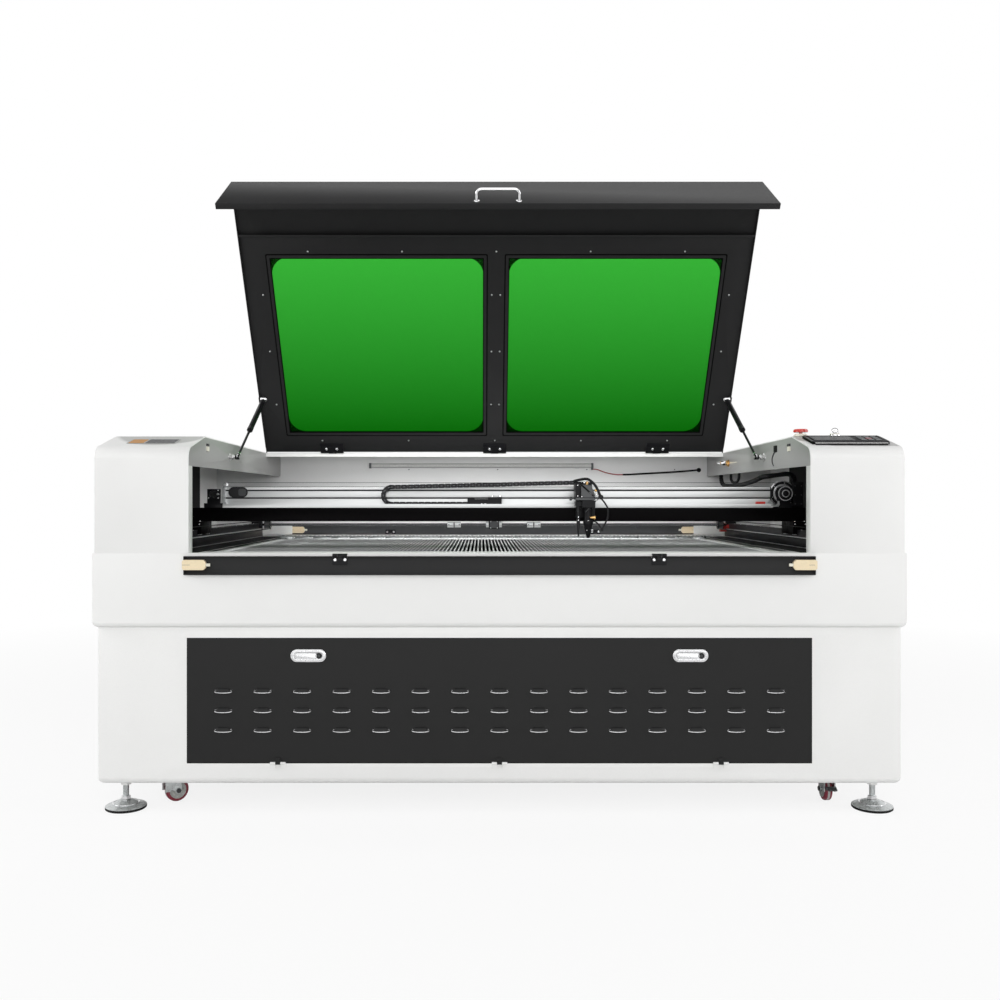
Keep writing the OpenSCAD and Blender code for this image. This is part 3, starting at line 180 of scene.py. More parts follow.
def finish(name, colour, rough, grain, relief, drift=0.05, metal=0.0, spread=0.06, depth=0.0004,
           stretch=(1, 1, 1), zones=(), **sockets):
    made = bpy.data.materials.new(name)
    made.use_nodes = True
    tree = made.node_tree
    shader = tree.nodes["Principled BSDF"]
    place = addNode(tree, "ShaderNodeTexCoord")
    drawn = addNode(tree, "ShaderNodeMapping", {"Vector": place.outputs["Object"], "Scale": stretch})
    fine = addNode(tree, "ShaderNodeTexNoise", {"Vector": drawn.outputs[0], "Scale": grain, "Detail": 3.0})
    broad = addNode(tree, "ShaderNodeTexNoise",
                    {"Vector": place.outputs["Object"], "Scale": 3.1, "Detail": 6.0, "Roughness": 0.6})
    both = addNode(tree, "ShaderNodeMath", {0: fine.outputs[0], 1: broad.outputs[0]}, operation="MULTIPLY")
    paint = addNode(tree, "ShaderNodeMix", {0: mapRange(tree, both.outputs[0], 0.1, 0.42),
                                            6: tinted(colour, 1 - drift), 7: tinted(colour, 1 + drift)},
                    data_type="RGBA").outputs[2]
    gloss = mapRange(tree, fine.outputs[0], 0.3, 0.7, rough - spread, rough + spread)
    for kind, axis, low, high, other, otherRough in zones:  # a second tone past an edge
        part = addNode(tree, "ShaderNodeSeparateXYZ", {0: place.outputs[kind]})
        edge = mapRange(tree, part.outputs[axis], low, high)
        paint = addNode(tree, "ShaderNodeMix", {0: edge, 6: paint, 7: (*other, 1)},
                        data_type="RGBA").outputs[2]
        gloss = addNode(tree, "ShaderNodeMix", {0: edge, 2: gloss, 3: otherRough}).outputs[0]
    tree.links.new(paint, shader.inputs["Base Color"])
    tree.links.new(gloss, shader.inputs["Roughness"])
    shader.inputs["Metallic"].default_value = metal
    for key, value in sockets.items():
        shader.inputs[key.replace("_", " ")].default_value = value
    if relief:
        bump = addNode(tree, "ShaderNodeBump", {"Strength": relief, "Distance": depth,
                                                "Height": fine.outputs[0]})
        tree.links.new(bump.outputs[0], shader.inputs["Normal"])
    return made


# grey for the painted shade on the side housings' upward faces
paintedTopShade = (0.44, 0.44, 0.43)
brushed = (2, 60, 60)
coats = {  # name, colour, roughness, grain, relief, drift
    "white": finish("whiteCoat", (0.82, 0.82, 0.81), 0.36, 380, 0.10, 0.02),
    # painted shade: faces of the side housings that point upward turn grey
    "whiteShadedTops": finish("whiteCoatShadedTops", (0.82, 0.82, 0.81), 0.36, 380, 0.10, 0.02,
                     zones=(("Normal", 2, 0.955, 0.962, paintedTopShade, 0.42),)),
    "grey": finish("greyCoat", (0.33, 0.33, 0.325), 0.42, 380, 0.12, 0.03),
    "wall": finish("paleGreyCoat", (0.80, 0.80, 0.80), 0.40, 380, 0.10, 0.03),
    "black": finish("blackTexturedCoat", (0.016, 0.016, 0.0165), 0.52, 760, 0.45, 0.12, depth=0.0005,
                    spread=0.10, Specular_IOR_Level=0.18),
    "door": finish("doorCoat", (0.0105, 0.0105, 0.0105), 0.50, 760, 0.35, 0.10, spread=0.08,
                   Specular_IOR_Level=0.22),
    "rail": finish("anodisedRail", (0.60, 0.61, 0.61), 0.36, 260, 0.10, 0.06, 0.30, stretch=brushed),
    "aluminium": finish("brushedAluminium", (0.66, 0.67, 0.68), 0.34, 240, 0.12, 0.08, 1.0,
                        stretch=brushed),
    "comb": finish("honeycombFoil", (0.90, 0.91, 0.92), 0.36, 120, 0.15, 0.15, 0.15),
    "zinc": finish("zincPlate", (0.56, 0.58, 0.58), 0.33, 90, 0.12, 0.16, 1.0, 0.12),
    "satin": finish("satinSilver", (0.66, 0.66, 0.67), 0.30, 260, 0.06, 0.03, 0.55),
    "chrome": finish("chrome", (0.80, 0.80, 0.81), 0.10, 200, 0.02, 0.02, 1.0, 0.03),
    "darkSteel": finish("blackenedSteel", (0.10, 0.10, 0.105), 0.25, 200, 0.04, metal=1.0),
    "blackMetal": finish("blackAnodised", (0.008, 0.008, 0.009), 0.36, 420, 0.10, 0.15, 0.05,
                         Specular_IOR_Level=0.12),
    "beam": finish("beamCoat", (0.0022, 0.0020, 0.0022), 0.40, 60, 0.05, 0.3, spread=0.10,
                   Specular_IOR_Level=0.02),
    "graphite": finish("graphiteCoat", (0.050, 0.052, 0.054), 0.38, 420, 0.15, metal=0.4),
    "chain": finish("chainPlastic", (0.009, 0.009, 0.010), 0.40, 300, 0.12, 0.15, Specular_IOR_Level=0.18),
    "blackPlastic": finish("blackPlastic", (0.013, 0.013, 0.014), 0.42, 500, 0.20, 0.10,
                           Specular_IOR_Level=0.25),
    "rubber": finish("blackRubber", (0.010, 0.010, 0.010), 0.70, 350, 0.25, 0.2, Specular_IOR_Level=0.15),
    "screen": finish("displayGlass", (0.006, 0.008, 0.010), 0.30, 100, 0.0, Specular_IOR_Level=0.08),
    "keys": finish("greyKeys", (0.09, 0.095, 0.10), 0.40, 500, 0.10, Specular_IOR_Level=0.2),
    "beige": finish("beigePlastic", (0.82, 0.69, 0.47), 0.42, 260, 0.10, 0.04),
    "cream": finish("creamPlastic", (0.74, 0.72, 0.62), 0.40, 260, 0.10, 0.03),
    "red": finish("redPlastic", (0.56, 0.035, 0.025), 0.30, 300, 0.06, Coat_Weight=0.3),
    "orange": finish("orangeEnamel", (0.50, 0.21, 0.012), 0.35, 300, 0.05, Specular_IOR_Level=0.08),
    "maroon": finish("maroonTread", (0.20, 0.014, 0.030), 0.34, 200, 0.12, 0.12, Coat_Weight=0.2),
    "hub": finish("greyHub", (0.42, 0.43, 0.41), 0.40, 200, 0.10, 0.08),
    "brass": finish("brass", (0.80, 0.50, 0.20), 0.22, 200, 0.05, 0.10, 1.0),
    "pcb": finish("greenBoard", (0.02, 0.16, 0.06), 0.35, 300, 0.15),
    "lens": finish("lampLens", (0.52, 0.52, 0.51), 0.30, 220, 0.08),
    "redWire": finish("redWire", (0.30, 0.012, 0.012), 0.45, 400, 0.08),
    "pane": finish("greenAcrylic", (0.001, 0.118, 0.0008), 0.10, 8, 0.02, 0.02, spread=0.01,
                   zones=(("Object", 2, 1.06, 1.64, (0.042, 0.475, 0.042), 0.04),),
                   Transmission_Weight=0.92, IOR=1.06),
    "glass": finish("tubeGlass", (0.90, 0.94, 0.95), 0.03, 20, 0.0, 0.01, spread=0.0,
                    Transmission_Weight=0.95, IOR=1.47),
}
print("finishes mixed")


# mesh tools: each adds to the shape in hand, in millimetres
bm = bmesh.new()
still = Matrix.Identity(4)
toMetres = Matrix.Scale(mm, 4)


def spin(degrees, axis):
    return Matrix.Rotation(radians(degrees), 4, axis)


def moved(x, y, z, turn=still):
    return Matrix.Translation((x, y, z)) @ turn


facing = spin(90, "X")  # turns local Z towards the front


def aimed(start, end):  # a matrix at start whose Z runs to end
    start, end = Vector(start), Vector(end)
    return Matrix.Translation(start) @ (end - start).to_track_quat("Z", "Y").to_matrix().to_4x4()


def settle(verts, place, tint):
    bmesh.ops.transform(bm, matrix=place, verts=verts)
    for face in {face for vert in verts for face in vert.link_faces}:
        face.material_index = tint


def skin(rings, tint, place, loop=False, caps=False):  # faces from each ring of points to the next
    rings = [[bm.verts.new(point) for point in ring] for ring in rings]
    for low, high in zip(rings, rings[1:] + rings[:1] if loop else rings[1:]):
        for k in range(max(len(low), len(high))):
            corner = tuple(dict.fromkeys((low[k % len(low)], low[(k + 1) % len(low)],
                                          high[(k + 1) % len(high)], high[k % len(high)])))
            if len(corner) > 2:
                bm.faces.new(corner)
    if caps:
        bm.faces.new(rings[0][::-1])
        bm.faces.new(rings[-1])
    settle([vert for ring in rings for vert in ring], place, tint)


def box(low, high, tint=0, place=still):
    low, high = Vector(low), Vector(high)
    size = [abs(side) for side in high - low]
    shape = Matrix.Translation((low + high) / 2) @ Matrix.Diagonal((*size, 1))
    settle(bmesh.ops.create_cube(bm, size=1.0, matrix=shape)["verts"], place, tint)


def rod(start, end, radius, sides=20, tint=0, place=still, tip=None):
    long = (Vector(end) - Vector(start)).length
    made = bmesh.ops.create_cone(bm, cap_ends=True, segments=sides, radius1=radius,
                                 radius2=radius if tip is None else tip, depth=long,
                                 matrix=aimed(start, end) @ moved(0, 0, long / 2))
    settle(made["verts"], place, tint)


def disc(radius, sides=24, x=0.0, y=0.0):
    return [(x + radius * cos(tau * k / sides), y + radius * sin(tau * k / sides)) for k in range(sides)]


def roundRect(wide, tall, radius, x=0.0, y=0.0, steps=5):
    outline = []
    for sx, sy, turn in ((1, 1, 0), (-1, 1, 90), (-1, -1, 180), (1, -1, 270)):
        for k in range(steps + 1):
            angle = radians(turn + 90 * k / steps)
            outline.append((x + sx * (wide / 2 - radius) + radius * cos(angle),
                            y + sy * (tall / 2 - radius) + radius * sin(angle)))
    return outline


def lathe(profile, place=still, sides=36, tint=0, closed=False):
    skin([[(x, y, height) for x, y in (disc(radius, sides) if radius > 1e-6 else [(0, 0)])]
          for radius, height in profile], tint, place, loop=closed)


def collar(inner, outer, low, high, place=still, sides=36, tint=0):
    lathe([(inner, low), (outer, low), (outer, high), (inner, high)], place, sides, tint, closed=True)


def slab(outline, low, high, tint=0, place=still):
    skin([[(x, y, z) for x, y in outline] for z in (low, high)], tint, place, caps=True)


def hoop(inner, outer, low, high, tint=0, place=still):  # a flat ring between two outlines
    turns = ((inner, low), (outer, low), (outer, high), (inner, high))
    skin([[(x, y, z) for x, y in line] for line, z in turns], tint, place, loop=True)


def rectangle(half, low, high, grow=0):
    return [(-half - grow, low - grow), (half + grow, low - grow), (half + grow, high + grow),
            (-half - grow, high + grow)]


def smoothPath(points, pieces=8):  # Catmull-Rom through the points
    points = [Vector(p) for p in points]
    padded = [2 * points[0] - points[1], *points, 2 * points[-1] - points[-2]]
    line = []
    for a, b, c, d in zip(padded, padded[1:], padded[2:], padded[3:]):
        for t in [k / pieces for k in range(pieces)]:
            line.append(0.5 * (2 * b + (c - a) * t + (2 * a - 5 * b + 4 * c - d) * t * t
                               + (3 * b - a - 3 * c + d) * t ** 3))
    return line + [points[-1]]


def lineLength(line):
    return sum((b - a).length for a, b in zip(line, line[1:]))


def sweep(line, radius, sides=10, tint=0, rib=0.0, place=still):
    side, rings = (line[1] - line[0]).normalized().orthogonal().normalized(), []
    for k, point in enumerate(line):
        along = (line[min(k + 1, len(line) - 1)] - line[max(k - 1, 0)]).normalized()
        side = (side - along * side.dot(along)).normalized()
        up = along.cross(side)
        rings.append([point + x * side + y * up for x, y in disc(radius + (rib if k % 2 else 0.0), sides)])
    skin(rings, tint, place, caps=True)


def screw(at, radius, tint=0, proud=0.55, along=(0, -1, 0)):  # a domed head with a socket
    high = radius * proud
    lathe([(radius, 0), (radius * 0.95, high * 0.45), (radius * 0.68, high * 0.9),
           (radius * 0.46, high), (radius * 0.42, high * 0.3), (0, high * 0.3)],
          aimed(at, Vector(at) + Vector(along)), 14, tint)


def bolt(at, along, radius, high, tint=0):  # a hexagon head on a washer
    place = aimed(at, Vector(at) + Vector(along))
    lathe([(0, 0), (radius * 1.45, 0), (radius * 1.45, high * 0.22), (0, high * 0.22)], place, 20, tint)
    slab(disc(radius, 6), high * 0.22, high, tint, place)


def roundEdges(piece, width):
    edge = piece.modifiers.new("edgeRound", "BEVEL")
    edge.width, edge.segments, edge.limit_method = width * mm, 2, "ANGLE"
    edge.angle_limit = radians(38)
    edge.harden_normals = True
    edge.use_clamp_overlap = True


def addPiece(name, body, coatNames, bevel=0, stands=(), crease=35):  # the shape in hand, finished
    bmesh.ops.recalc_face_normals(bm, faces=bm.faces)
    mesh = bpy.data.meshes.new(name)
    bm.transform(toMetres)
    bm.to_mesh(mesh)
    bm.clear()
    for coat in coatNames:
        mesh.materials.append(coats[coat])
    mesh.shade_smooth()
    mesh.set_sharp_from_angle(angle=radians(crease))
    piece = stageObject(name, mesh)
    if bevel:
        roundEdges(piece, bevel)
    if body:
        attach(piece, body)
    if stands:
        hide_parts(*stands)
    return piece


# CAD nodes by coat and edge radius
dressing = {
    # the side housings take the coat with painted shade on their upward faces
    ("white", 0.8): "base_cabinet mid_body", ("whiteShadedTops", 1.2): "left_housing right_housing",
    ("white", 1.0): "rear_housing", ("grey", 0.6): "side_cheeks", ("wall", 0.5): "rear_wall",
    ("zinc", 0.5): "bed_frame", ("comb", 0.3): "honeycomb_bed", ("beam", 1.2): "control_panel",
    ("cream", 0.4): "switch_bases", ("aluminium", 0.6): "led_lamp", ("redWire", 0): "lamp_lead",
    ("glass", 0.5): "laser_tube", ("graphite", 1.2): "electronics", ("zinc", 0.4): "exhaust_outlet",
    ("cream", 0.5): "wall_fittings", ("black", 1.0): "lid_shell", ("black", 0.6): "lid_frame front_flap",
    ("blackMetal", 1.0): "y_motor", ("blackMetal", 0.8): "mirror_mount x_motor",
    ("blackMetal", 0.7): "carriage",
    ("blackMetal", 0.6): "y_rails left_strut_tube right_strut_tube", ("blackMetal", 0.4): "lens_tube",
    ("blackMetal", 0.3): "lid_hinges left_strut_rod right_strut_rod", ("pane", 0.4): "lid_windows",
    ("chrome", 0): "lid_handle", ("chrome", 0.3): "switch_key",
    ("beige", 1.2): "front_flap_catches rear_flap_catches",
    ("graphite", 0.6): "rear_flap", ("door", 0): "cabinet_door", ("rail", 0.4): "gantry_rail",
    ("satin", 0.6): "latch_bodies left_latch_paddle right_latch_paddle", ("beam", 1.0): "gantry_beam",
    ("chain", 0.3): "drag_chain", ("chain", 0): "gantry_harness", ("blackPlastic", 0.3): "focus_pen",
    ("darkSteel", 0.4): "drive_shaft", ("red", 0): "estop_button",
}


def dressNodes():
    chosen = {name: key for key, names in dressing.items() for name in names.split()}
    for name, node in frame["nodes"].items():
        coat, radius = chosen.get(name, ("zinc", 0.3))  # casters and feet
        node.data.materials.clear()
        node.data.materials.append(coats[coat])
        node.data.polygons.foreach_set("material_index", [0] * len(node.data.polygons))
        if radius:
            node.data.polygons.foreach_set("use_smooth", [True] * len(node.data.polygons))
            join = node.modifiers.new("joinedSeams", "WELD")
            join.merge_threshold = 0.00002
            roundEdges(node, radius)


dressNodes()
print("CAD nodes dressed")


# lid
lid = {"hinge": (0, 233, 1024), "opened": -57.1, "under": -10.8, "windowX": 391, "windowU": 415.5,
       "window": (698, 649), "trim": (1.5, 10.5, 14.5), "screwRows": (204, 409, 614), "screwX": (777, 14.2),
       "topU": 763, "topX": (-614, -307, 0, 307, 614), "lowU": 57, "hingeX": (-595, 0, 595), "screw": 2.8}
lidPlace = Matrix.Translation(lid["hinge"]) @ spin(lid["opened"], "X")


def onLid(x, along, out=0):  # a point in the lid's own plane
    return lidPlace @ Vector((x, -along, out))


def buildLid():
    under = lid["under"]
    inward = lidPlace.to_3x3() @ Vector((0, 0, -1))
    wide, tall = lid["window"]
    inside, band, edge = lid["trim"]
    for side in (-1, 1):
        x, y = side * lid["windowX"], -lid["windowU"]
        ring = [roundRect(wide + 2 * grow, tall + 2 * grow, 2 + max(grow, 0) / 4, x, y, 4)
                for grow in (-inside, inside, band, edge)]
        hoop(ring[0], ring[1], under - 0.6, under + 4, place=lidPlace)
        hoop(ring[1], ring[2], under - 1.2, under + 0.1, 1, lidPlace)
        hoop(ring[2], ring[3], under - 0.6, under + 0.1, place=lidPlace)
    addPiece("window_seals", "lid", ["beam", "black"], bevel=0.2)
    spots = [(x, lid["topU"]) for x in lid["topX"]] + [(x * 1.02, lid["lowU"]) for x in lid["topX"]]
    spots += [(side * x, row) for x in lid["screwX"] for side in (-1, 1) for row in lid["screwRows"]]
    for x, along in spots:
        screw(onLid(x, along, under), lid["screw"], along=inward)
    addPiece("lid_frame_screws", "lid", ["zinc"])
    for x in lid["hingeX"]:
        slab(roundRect(84, 19, 3, x, -22.5), under - 4.6, under - 1.8, place=lidPlace)
        for side in (-1, 1):
            screw(onLid(x + side * 19, 24, under - 4.5), 5.2, 1, along=inward)
    addPiece("lid_hinge_screws", "lid", ["blackMetal", "chrome"], bevel=0.6)
    for side in (-1, 1):  # folded hems on the shell's long edges and round the handle feet
        box((side * 834 - 1.5, -976, -16), (side * 834 + 1.5, -30, -10.5), place=lidPlace)
    for side in (-1, 1):
        rod(onLid(side * 62, 985.5, -211.5), onLid(side * 62, 988.5, -211.5), 8.5, 24, 1)
    addPiece("lid_hems", "lid", ["black", "chrome"], bevel=0.5)


# struts
strut = {"x": 815, "low": (-305, 985), "angle": 29.729, "long": 442.6, "tube": 225}


def buildStruts():
    lean = radians(strut["angle"])
    for side, name in ((-1, "left"), (1, "right")):
        foot = Matrix.Translation((side * strut["x"], *strut["low"])) @ Matrix.Rotation(lean, 4, "X")
        # ball socket, jam nut and neck at the lower end
        rod((0, 4, 0), (0, 19, 0), 6.5, place=foot, tip=4.5)
        rod((0, 19, 0), (0, 24, 0), 6, 6, place=foot)
        lathe([(4.8, -6.2), (7.5, -4), (8.2, 0), (7.5, 4), (4.8, 6.2)], foot @ spin(90, "Y"), 24)
        addPiece(name + "_rod_end", name + "_rod", ["chrome"], bevel=0.4)
        # gland, end cap and rings on the gas cylinder
        start, end = strut["long"] - strut["tube"] - 20, strut["long"] - 20
        for at, reach, wide in ((start - 4, 12, 9.8), (start + 12, 4, 9.5), (end - 14, 16, 9.7)):
            rod((0, at, 0), (0, at + reach, 0), wide, 28, place=foot)
        rod((0, end, 0), (0, end + 13, 0), 5.5, tint=1, place=foot)
        addPiece(name + "_tube_rings", name + "_tube", ["blackPlastic", "chrome"],
                 bevel=0.6)
        y, z = strut["low"]  # ball stud with its hexagon and washer on the cheek
        for start, end, wide, sides in ((822.5, 826.5, 4.8, 20), (826.5, 831.5, 8.5, 6),
                                        (838.2, 840, 12.5, 28)):
            rod((side * start, y, z), (side * end, y, z), wide, sides)
        addPiece(name + "_ball_stud", "machine", ["chrome"], bevel=0.4)
        top = foot @ Vector((0, strut["long"], 0))  # ball stud of the upper end
        for start, end, wide in ((-12, -9, 5.6), (-9, 11, 8.8)):
            rod(top + Vector((side * start, 0, 0)), top + Vector((side * end, 0, 0)), wide, 24)
        addPiece(name + "_upper_stud", "lid", ["chrome"], bevel=0.8)


# flaps
flap = {"x": (-430, 430), "axis": (757, 700), "wide": 40, "knuckle": 5.6, "free": 50.5,
        "leaf": {-1: (-754.8, -753.2, 689), 1: (759.4, 760.8, 715.7)}, "screw": (13.3, 4.8),
        "catch": {-1: (-763.5, -753), 1: (750.5, 761)}, "catchX": (790.6, 854), "catchZ": (11, 38.5)}


def buildFlaps():
    for side, name in ((-1, "front"), (1, "rear")):
        body = name + "_flap_body"
        y, z = side * flap["axis"][0], flap["axis"][1]
        third = flap["wide"] / 3
        near, far, screwZ = flap["leaf"][side]
        for x in flap["x"]:
            for k in (-1, 1):
                rod((x + k * third - third / 2 + 0.2, y, z), (x + k * third + third / 2 - 0.2, y, z),
                    flap["knuckle"])
        addPiece(name + "_hinge_knuckles", "machine", ["blackMetal"], bevel=0.4)
        for x in flap["x"]:
            rod((x - third / 2 + 0.2, y, z), (x + third / 2 - 0.2, y, z), flap["knuckle"])
            slab(roundRect(42, 20, 3, x, z + side * 15.5), -far, -near, place=facing)
            for k in (-1, 1):
                screw((x + k * flap["screw"][0], near, screwZ), flap["screw"][1], 1, 0.4)
        addPiece(name + "_hinge_leaves", body, ["blackMetal", "chrome"], bevel=0.4)
        low, high = sorted((z + side * reach for reach in flap["catchZ"]))
        front, back = flap["catch"][side]
        for half in (-1, 1):  # sliding latch with a small hook at its inner end
            ends = [half * at for at in flap["catchX"]]
            outline = [(ends[0], low + 6), (ends[0] + half * 6, low), (ends[1] - half * 4, low),
                       (ends[1], low + 4), (ends[1], high - 4), (ends[1] - half * 4, high),
                       (ends[0] + half * 6, high), (ends[0], high - 6)]
            slab(outline, -back, -front, place=facing)
            mid = (low + high) / 2
            box((ends[0] - half * 12, front + 2, mid - 4), (ends[0], front + 4.5, mid + 4), 1)
            box((min(ends[1], ends[1] - half * 22), front - 0.05, mid - 0.8),
                (max(ends[1] - half * 6, ends[1] - half * 22), front + 1, mid + 0.8), 2)
        addPiece(name + "_catch_plates", body, ["beige", "cream", "keys"], bevel=0.9,
                 stands=[name + "_flap_catches"])
        edge = z + side * flap["free"]  # hem along the flap's free edge
        box((-849, side * 760 - 1, edge - 1.8), (849, side * 760 + 1.4, edge + 0.8))
        addPiece(name + "_flap_hem", body, ["keys"], bevel=0.6)


# cabinet door
door = {"face": -738, "latchX": 518, "latchZ": 428, "keyX": 29, "low": 138, "high": 474, "half": 845.5,
        "louvreN": 15, "pitch": 107, "louvreHalf": 23}


def buildDoor():
    face = door["face"]
    for side in (-1, 1):  # latch bezels, key cylinders
        x, z = side * door["latchX"], door["latchZ"]
        ring = [roundRect(92 + grow, 30 + grow, 14.9 + grow / 2, x, z, 9) for grow in (0, 4)]
        hoop(ring[0], ring[1], -face, -face + 2.4, place=facing)
        place = moved(x + door["keyX"], face, z, facing)
        lathe([(7.8, 4.5), (7.8, 5.6), (6, 6), (6, 5), (0, 5)], place, 28, 1)
        lathe([(3.6, 4.8), (3.6, 5.8), (0, 5.8)], place, 20, 2)
        box((-0.4, -2.2, 5), (0.4, 2.2, 6), 1, place)
    addPiece("latch_bezels", "door", ["chrome", "blackPlastic", "graphite"], bevel=0.4)
    for side, name in ((-1, "left"), (1, "right")):
        x, z = side * door["latchX"], door["latchZ"]
        rim = [roundRect(60 - cut, 15.5 - cut, 7.7 - cut / 2, x - 6.5, z, 7) for cut in (3, 0)]
        hoop(rim[0], rim[1], -face + 5.4, -face + 6, place=facing)
        addPiece(name + "_paddle_rim", name + "_latch", ["chrome"], bevel=0.2)
    for row in range(3):  # painted highlights: bright satin strips along the pressed louvres stand in for the gloss on their hoods
        for k in range(door["louvreN"]):
            x = (k - (door["louvreN"] - 1) / 2) * door["pitch"]
            z = door["low"] + 112 - 26.5 + row * 53
            for lift, proud, droop, thick in ((0.8, 6.2, 2.6, 1.2), (4.6, 2.2, 0, 0.4)):
                sweep([Vector((x + door["louvreHalf"] * cos(a), face - proud * sin(a) ** 0.6,
                               z + lift - droop * sin(a)))
                       for a in (pi * step / 14 for step in range(15))], thick, 8)
    addPiece("louvre_highlight_strips", "door", ["satin"])
    # shadow gap seal round the door
    inner, outer = (rectangle(door["half"], door["low"], door["high"], wide) for wide in (0.2, 2.2))
    hoop(inner, outer, -face - 4, -face + 0.3, place=facing)
    addPiece("door_seal", "machine", ["rubber"])


# bed
bed = {"half": 806, "front": -626, "rear": 346, "top": 700.5, "deep": 6.5, "side": 7.8, "pitch": 23.4,
       "row": 6.75, "rim": 13.5}


def buildBed():
    side, pitch, row = bed["side"], bed["pitch"], bed["row"]
    rows = int((bed["rear"] - bed["front"]) / row)
    count = int(2 * bed["half"] / pitch)
    steps = ((0, 0), (side, 0), (side * 1.5, 1), (side * 2.5, 1))  # flat, slant, flat, slant
    for part in range(2):
        verts, faces = [], []
        for n in range(part * rows // 2, (part + 1) * rows // 2):
            shift = n % 2 * pitch / 2
            for k in range(count):
                for along, rise in steps:
                    x = -bed["half"] + shift + k * pitch + along
                    y = bed["front"] + (n + rise) * row
                    verts += [(min(x, bed["half"]), y, bed["top"] - down) for down in (0, bed["deep"])]
            first = (n - part * rows // 2) * count * 8
            for k in range(4 * count - 1):
                a = first + 2 * k
                faces.append((a, a + 1, a + 3, a + 2))
        mesh = bpy.data.meshes.new("honeycomb")
        mesh.from_pydata(verts, [], faces)
        mesh.transform(toMetres)
        mesh.materials.append(coats["comb"])
        piece = bpy.data.objects.new(("front", "rear")[part] + "_honeycomb", mesh)
        bpy.context.scene.collection.objects.link(piece)
        wall = piece.modifiers.new("foil", "SOLIDIFY")
        wall.thickness, wall.offset = 1.3 * mm, 0
        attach(piece, "machine")
        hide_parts("honeycomb_bed")
    # rim, cross battens and tray under the comb
    inner, outer = (rectangle(bed["half"], bed["front"], bed["rear"], grow) for grow in (0, bed["rim"]))
    hoop(inner, outer, 682.5, 701.5)
    for k in range(1, 10):
        x = -bed["half"] + k * bed["half"] / 5
        box((x - 2, bed["front"], 682.2), (x + 2, bed["rear"], bed["top"] - bed["deep"]))
    addPiece("bed_rim", "machine", ["hub"], bevel=0.6, stands=["honeycomb_bed"])
    box((-bed["half"], bed["front"], 680), (bed["half"], bed["rear"], 693))
    addPiece("crumb_sheet", "machine", ["comb"])
    for k in range(108):  # punched strip behind the bed
        x = -800 + k * 14.95
        lathe([(3.4, 0), (4.6, 0.6), (4.6, 1.2), (3.4, 1.2)], moved(x, 353.5, 713.5), 10, closed=True)
    addPiece("strip_eyelets", "machine", ["graphite"])


# gantry
chain = {"y": (-348.3, -336.3), "lowZ": 838, "fixed": -92, "bendX": -327, "bendZ": 864, "round": 26,
         "highZ": 890, "endX": 233.6, "endZ": 903.5, "pitch": 19.5, "tall": 13}


def chainLink(place, odd):  # two side plates, two bridges and the joint bosses
    near, far = chain["y"]
    half, reach = chain["tall"] / 2, chain["pitch"] * 0.56
    step = 0.6 if odd else 0
    for low, high in ((near + step, near + 2.2 + step), (far - 2.2 - step, far - step)):
        slab(roundRect(2 * reach, 2 * half, half * 0.75, 0, 0, 4), -high, -low, place=place @ facing)
    for rise in (-1, 1):
        mid = rise * (half - 0.9)
        box((-reach * 0.42, near + 0.4, mid - 0.9), (reach * 0.42, far - 0.4, mid + 0.9), place=place)
    pin = place @ moved(-chain["pitch"] / 2, near + 0.8, 0) @ facing
    lathe([(3, 0), (3, 0.6), (1.6, 0.8), (0, 0.8)], pin, 12, 1)
    box((-reach * 0.3, near - 0.1 + step, -half * 0.28), (reach * 0.3, near + 0.3 + step, half * 0.28), 1,
        place)


def buildChain():
    pitch = chain["pitch"]
    count = round((chain["fixed"] - chain["bendX"]) / pitch)
    for k in range(count + 1):
        chainLink(moved(chain["fixed"] - 6 - k * pitch, 0, chain["lowZ"]), k % 2)
    lower = addPiece("drag_chain_lower_run", None, ["chain", "graphite"], bevel=0.4,
                     stands=["drag_chain"])
    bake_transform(lower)
    for k in range(5):
        turn = radians(90 + 36 * k - 72)
        x = chain["bendX"] - chain["round"] * cos(turn - radians(90))
        z = chain["bendZ"] + chain["round"] * sin(turn - radians(90))
        chainLink(moved(x, 0, z, Matrix.Rotation(turn, 4, "Y")), k % 2)
    bend = addPiece("drag_chain_bend", None, ["chain", "graphite"], bevel=0.4,
                    stands=["drag_chain"])
    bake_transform(bend)
    first, last = Vector((chain["bendX"], 0, chain["highZ"])), Vector((chain["endX"], 0, chain["endZ"]))
    count = round((last - first).length / pitch)
    lean = Matrix.Rotation(-atan2(last.z - first.z, last.x - first.x), 4, "Y")
    for k in range(count + 1):
        chainLink(Matrix.Translation(first + (last - first) * (k / count)) @ lean, k % 2)
    upper = addPiece("drag_chain_upper_run", None, ["chain", "graphite"], bevel=0.4,
                     stands=["drag_chain"])
    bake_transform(upper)
    near, far = chain["y"]  # fixed end bracket on the rail's lip
    box((chain["fixed"], near, 831.5), (-28, far, 853))
    box((-28, near, 831.5), (14, far, 859))
    box((chain["fixed"], near + 2, 853), (-70, far - 2, 856))
    for x in (-15, 9):
        bolt((x, (near + far) / 2, 859), (0, 0, 1), 3.4, 5, 1)
    for x in (-48, -37):
        screw((x, near, 838), 2, 1)
    addPiece("chain_bracket", "gantry", ["blackMetal", "chrome"], bevel=0.6,
             stands=["drag_chain"])


harness = {"route": ((841.5, 270, 942.7), (841.5, 270, 930), (841.5, 258, 914), (841.5, 222, 904),
                     (841.5, 160, 901), (841.5, 90, 900), (841.5, 20, 901), (841.5, -60, 904),
                     (841.5, -140, 909), (841.5, -215, 916), (841.5, -268, 922), (846.5, -300, 924),
                     (861.5, -319, 926), (882.5, -329, 929), (903.5, -328, 931), (920.5, -325, 927),
                     (927.5, -325, 918), (927.5, -325, 906.3)), "thick": 14,
           "second": ((848, 150, 943), (848, 149, 925), (848, 120, 913.5), (848, 70, 913.5),
                      (848, 40, 925), (848, 36, 943))}


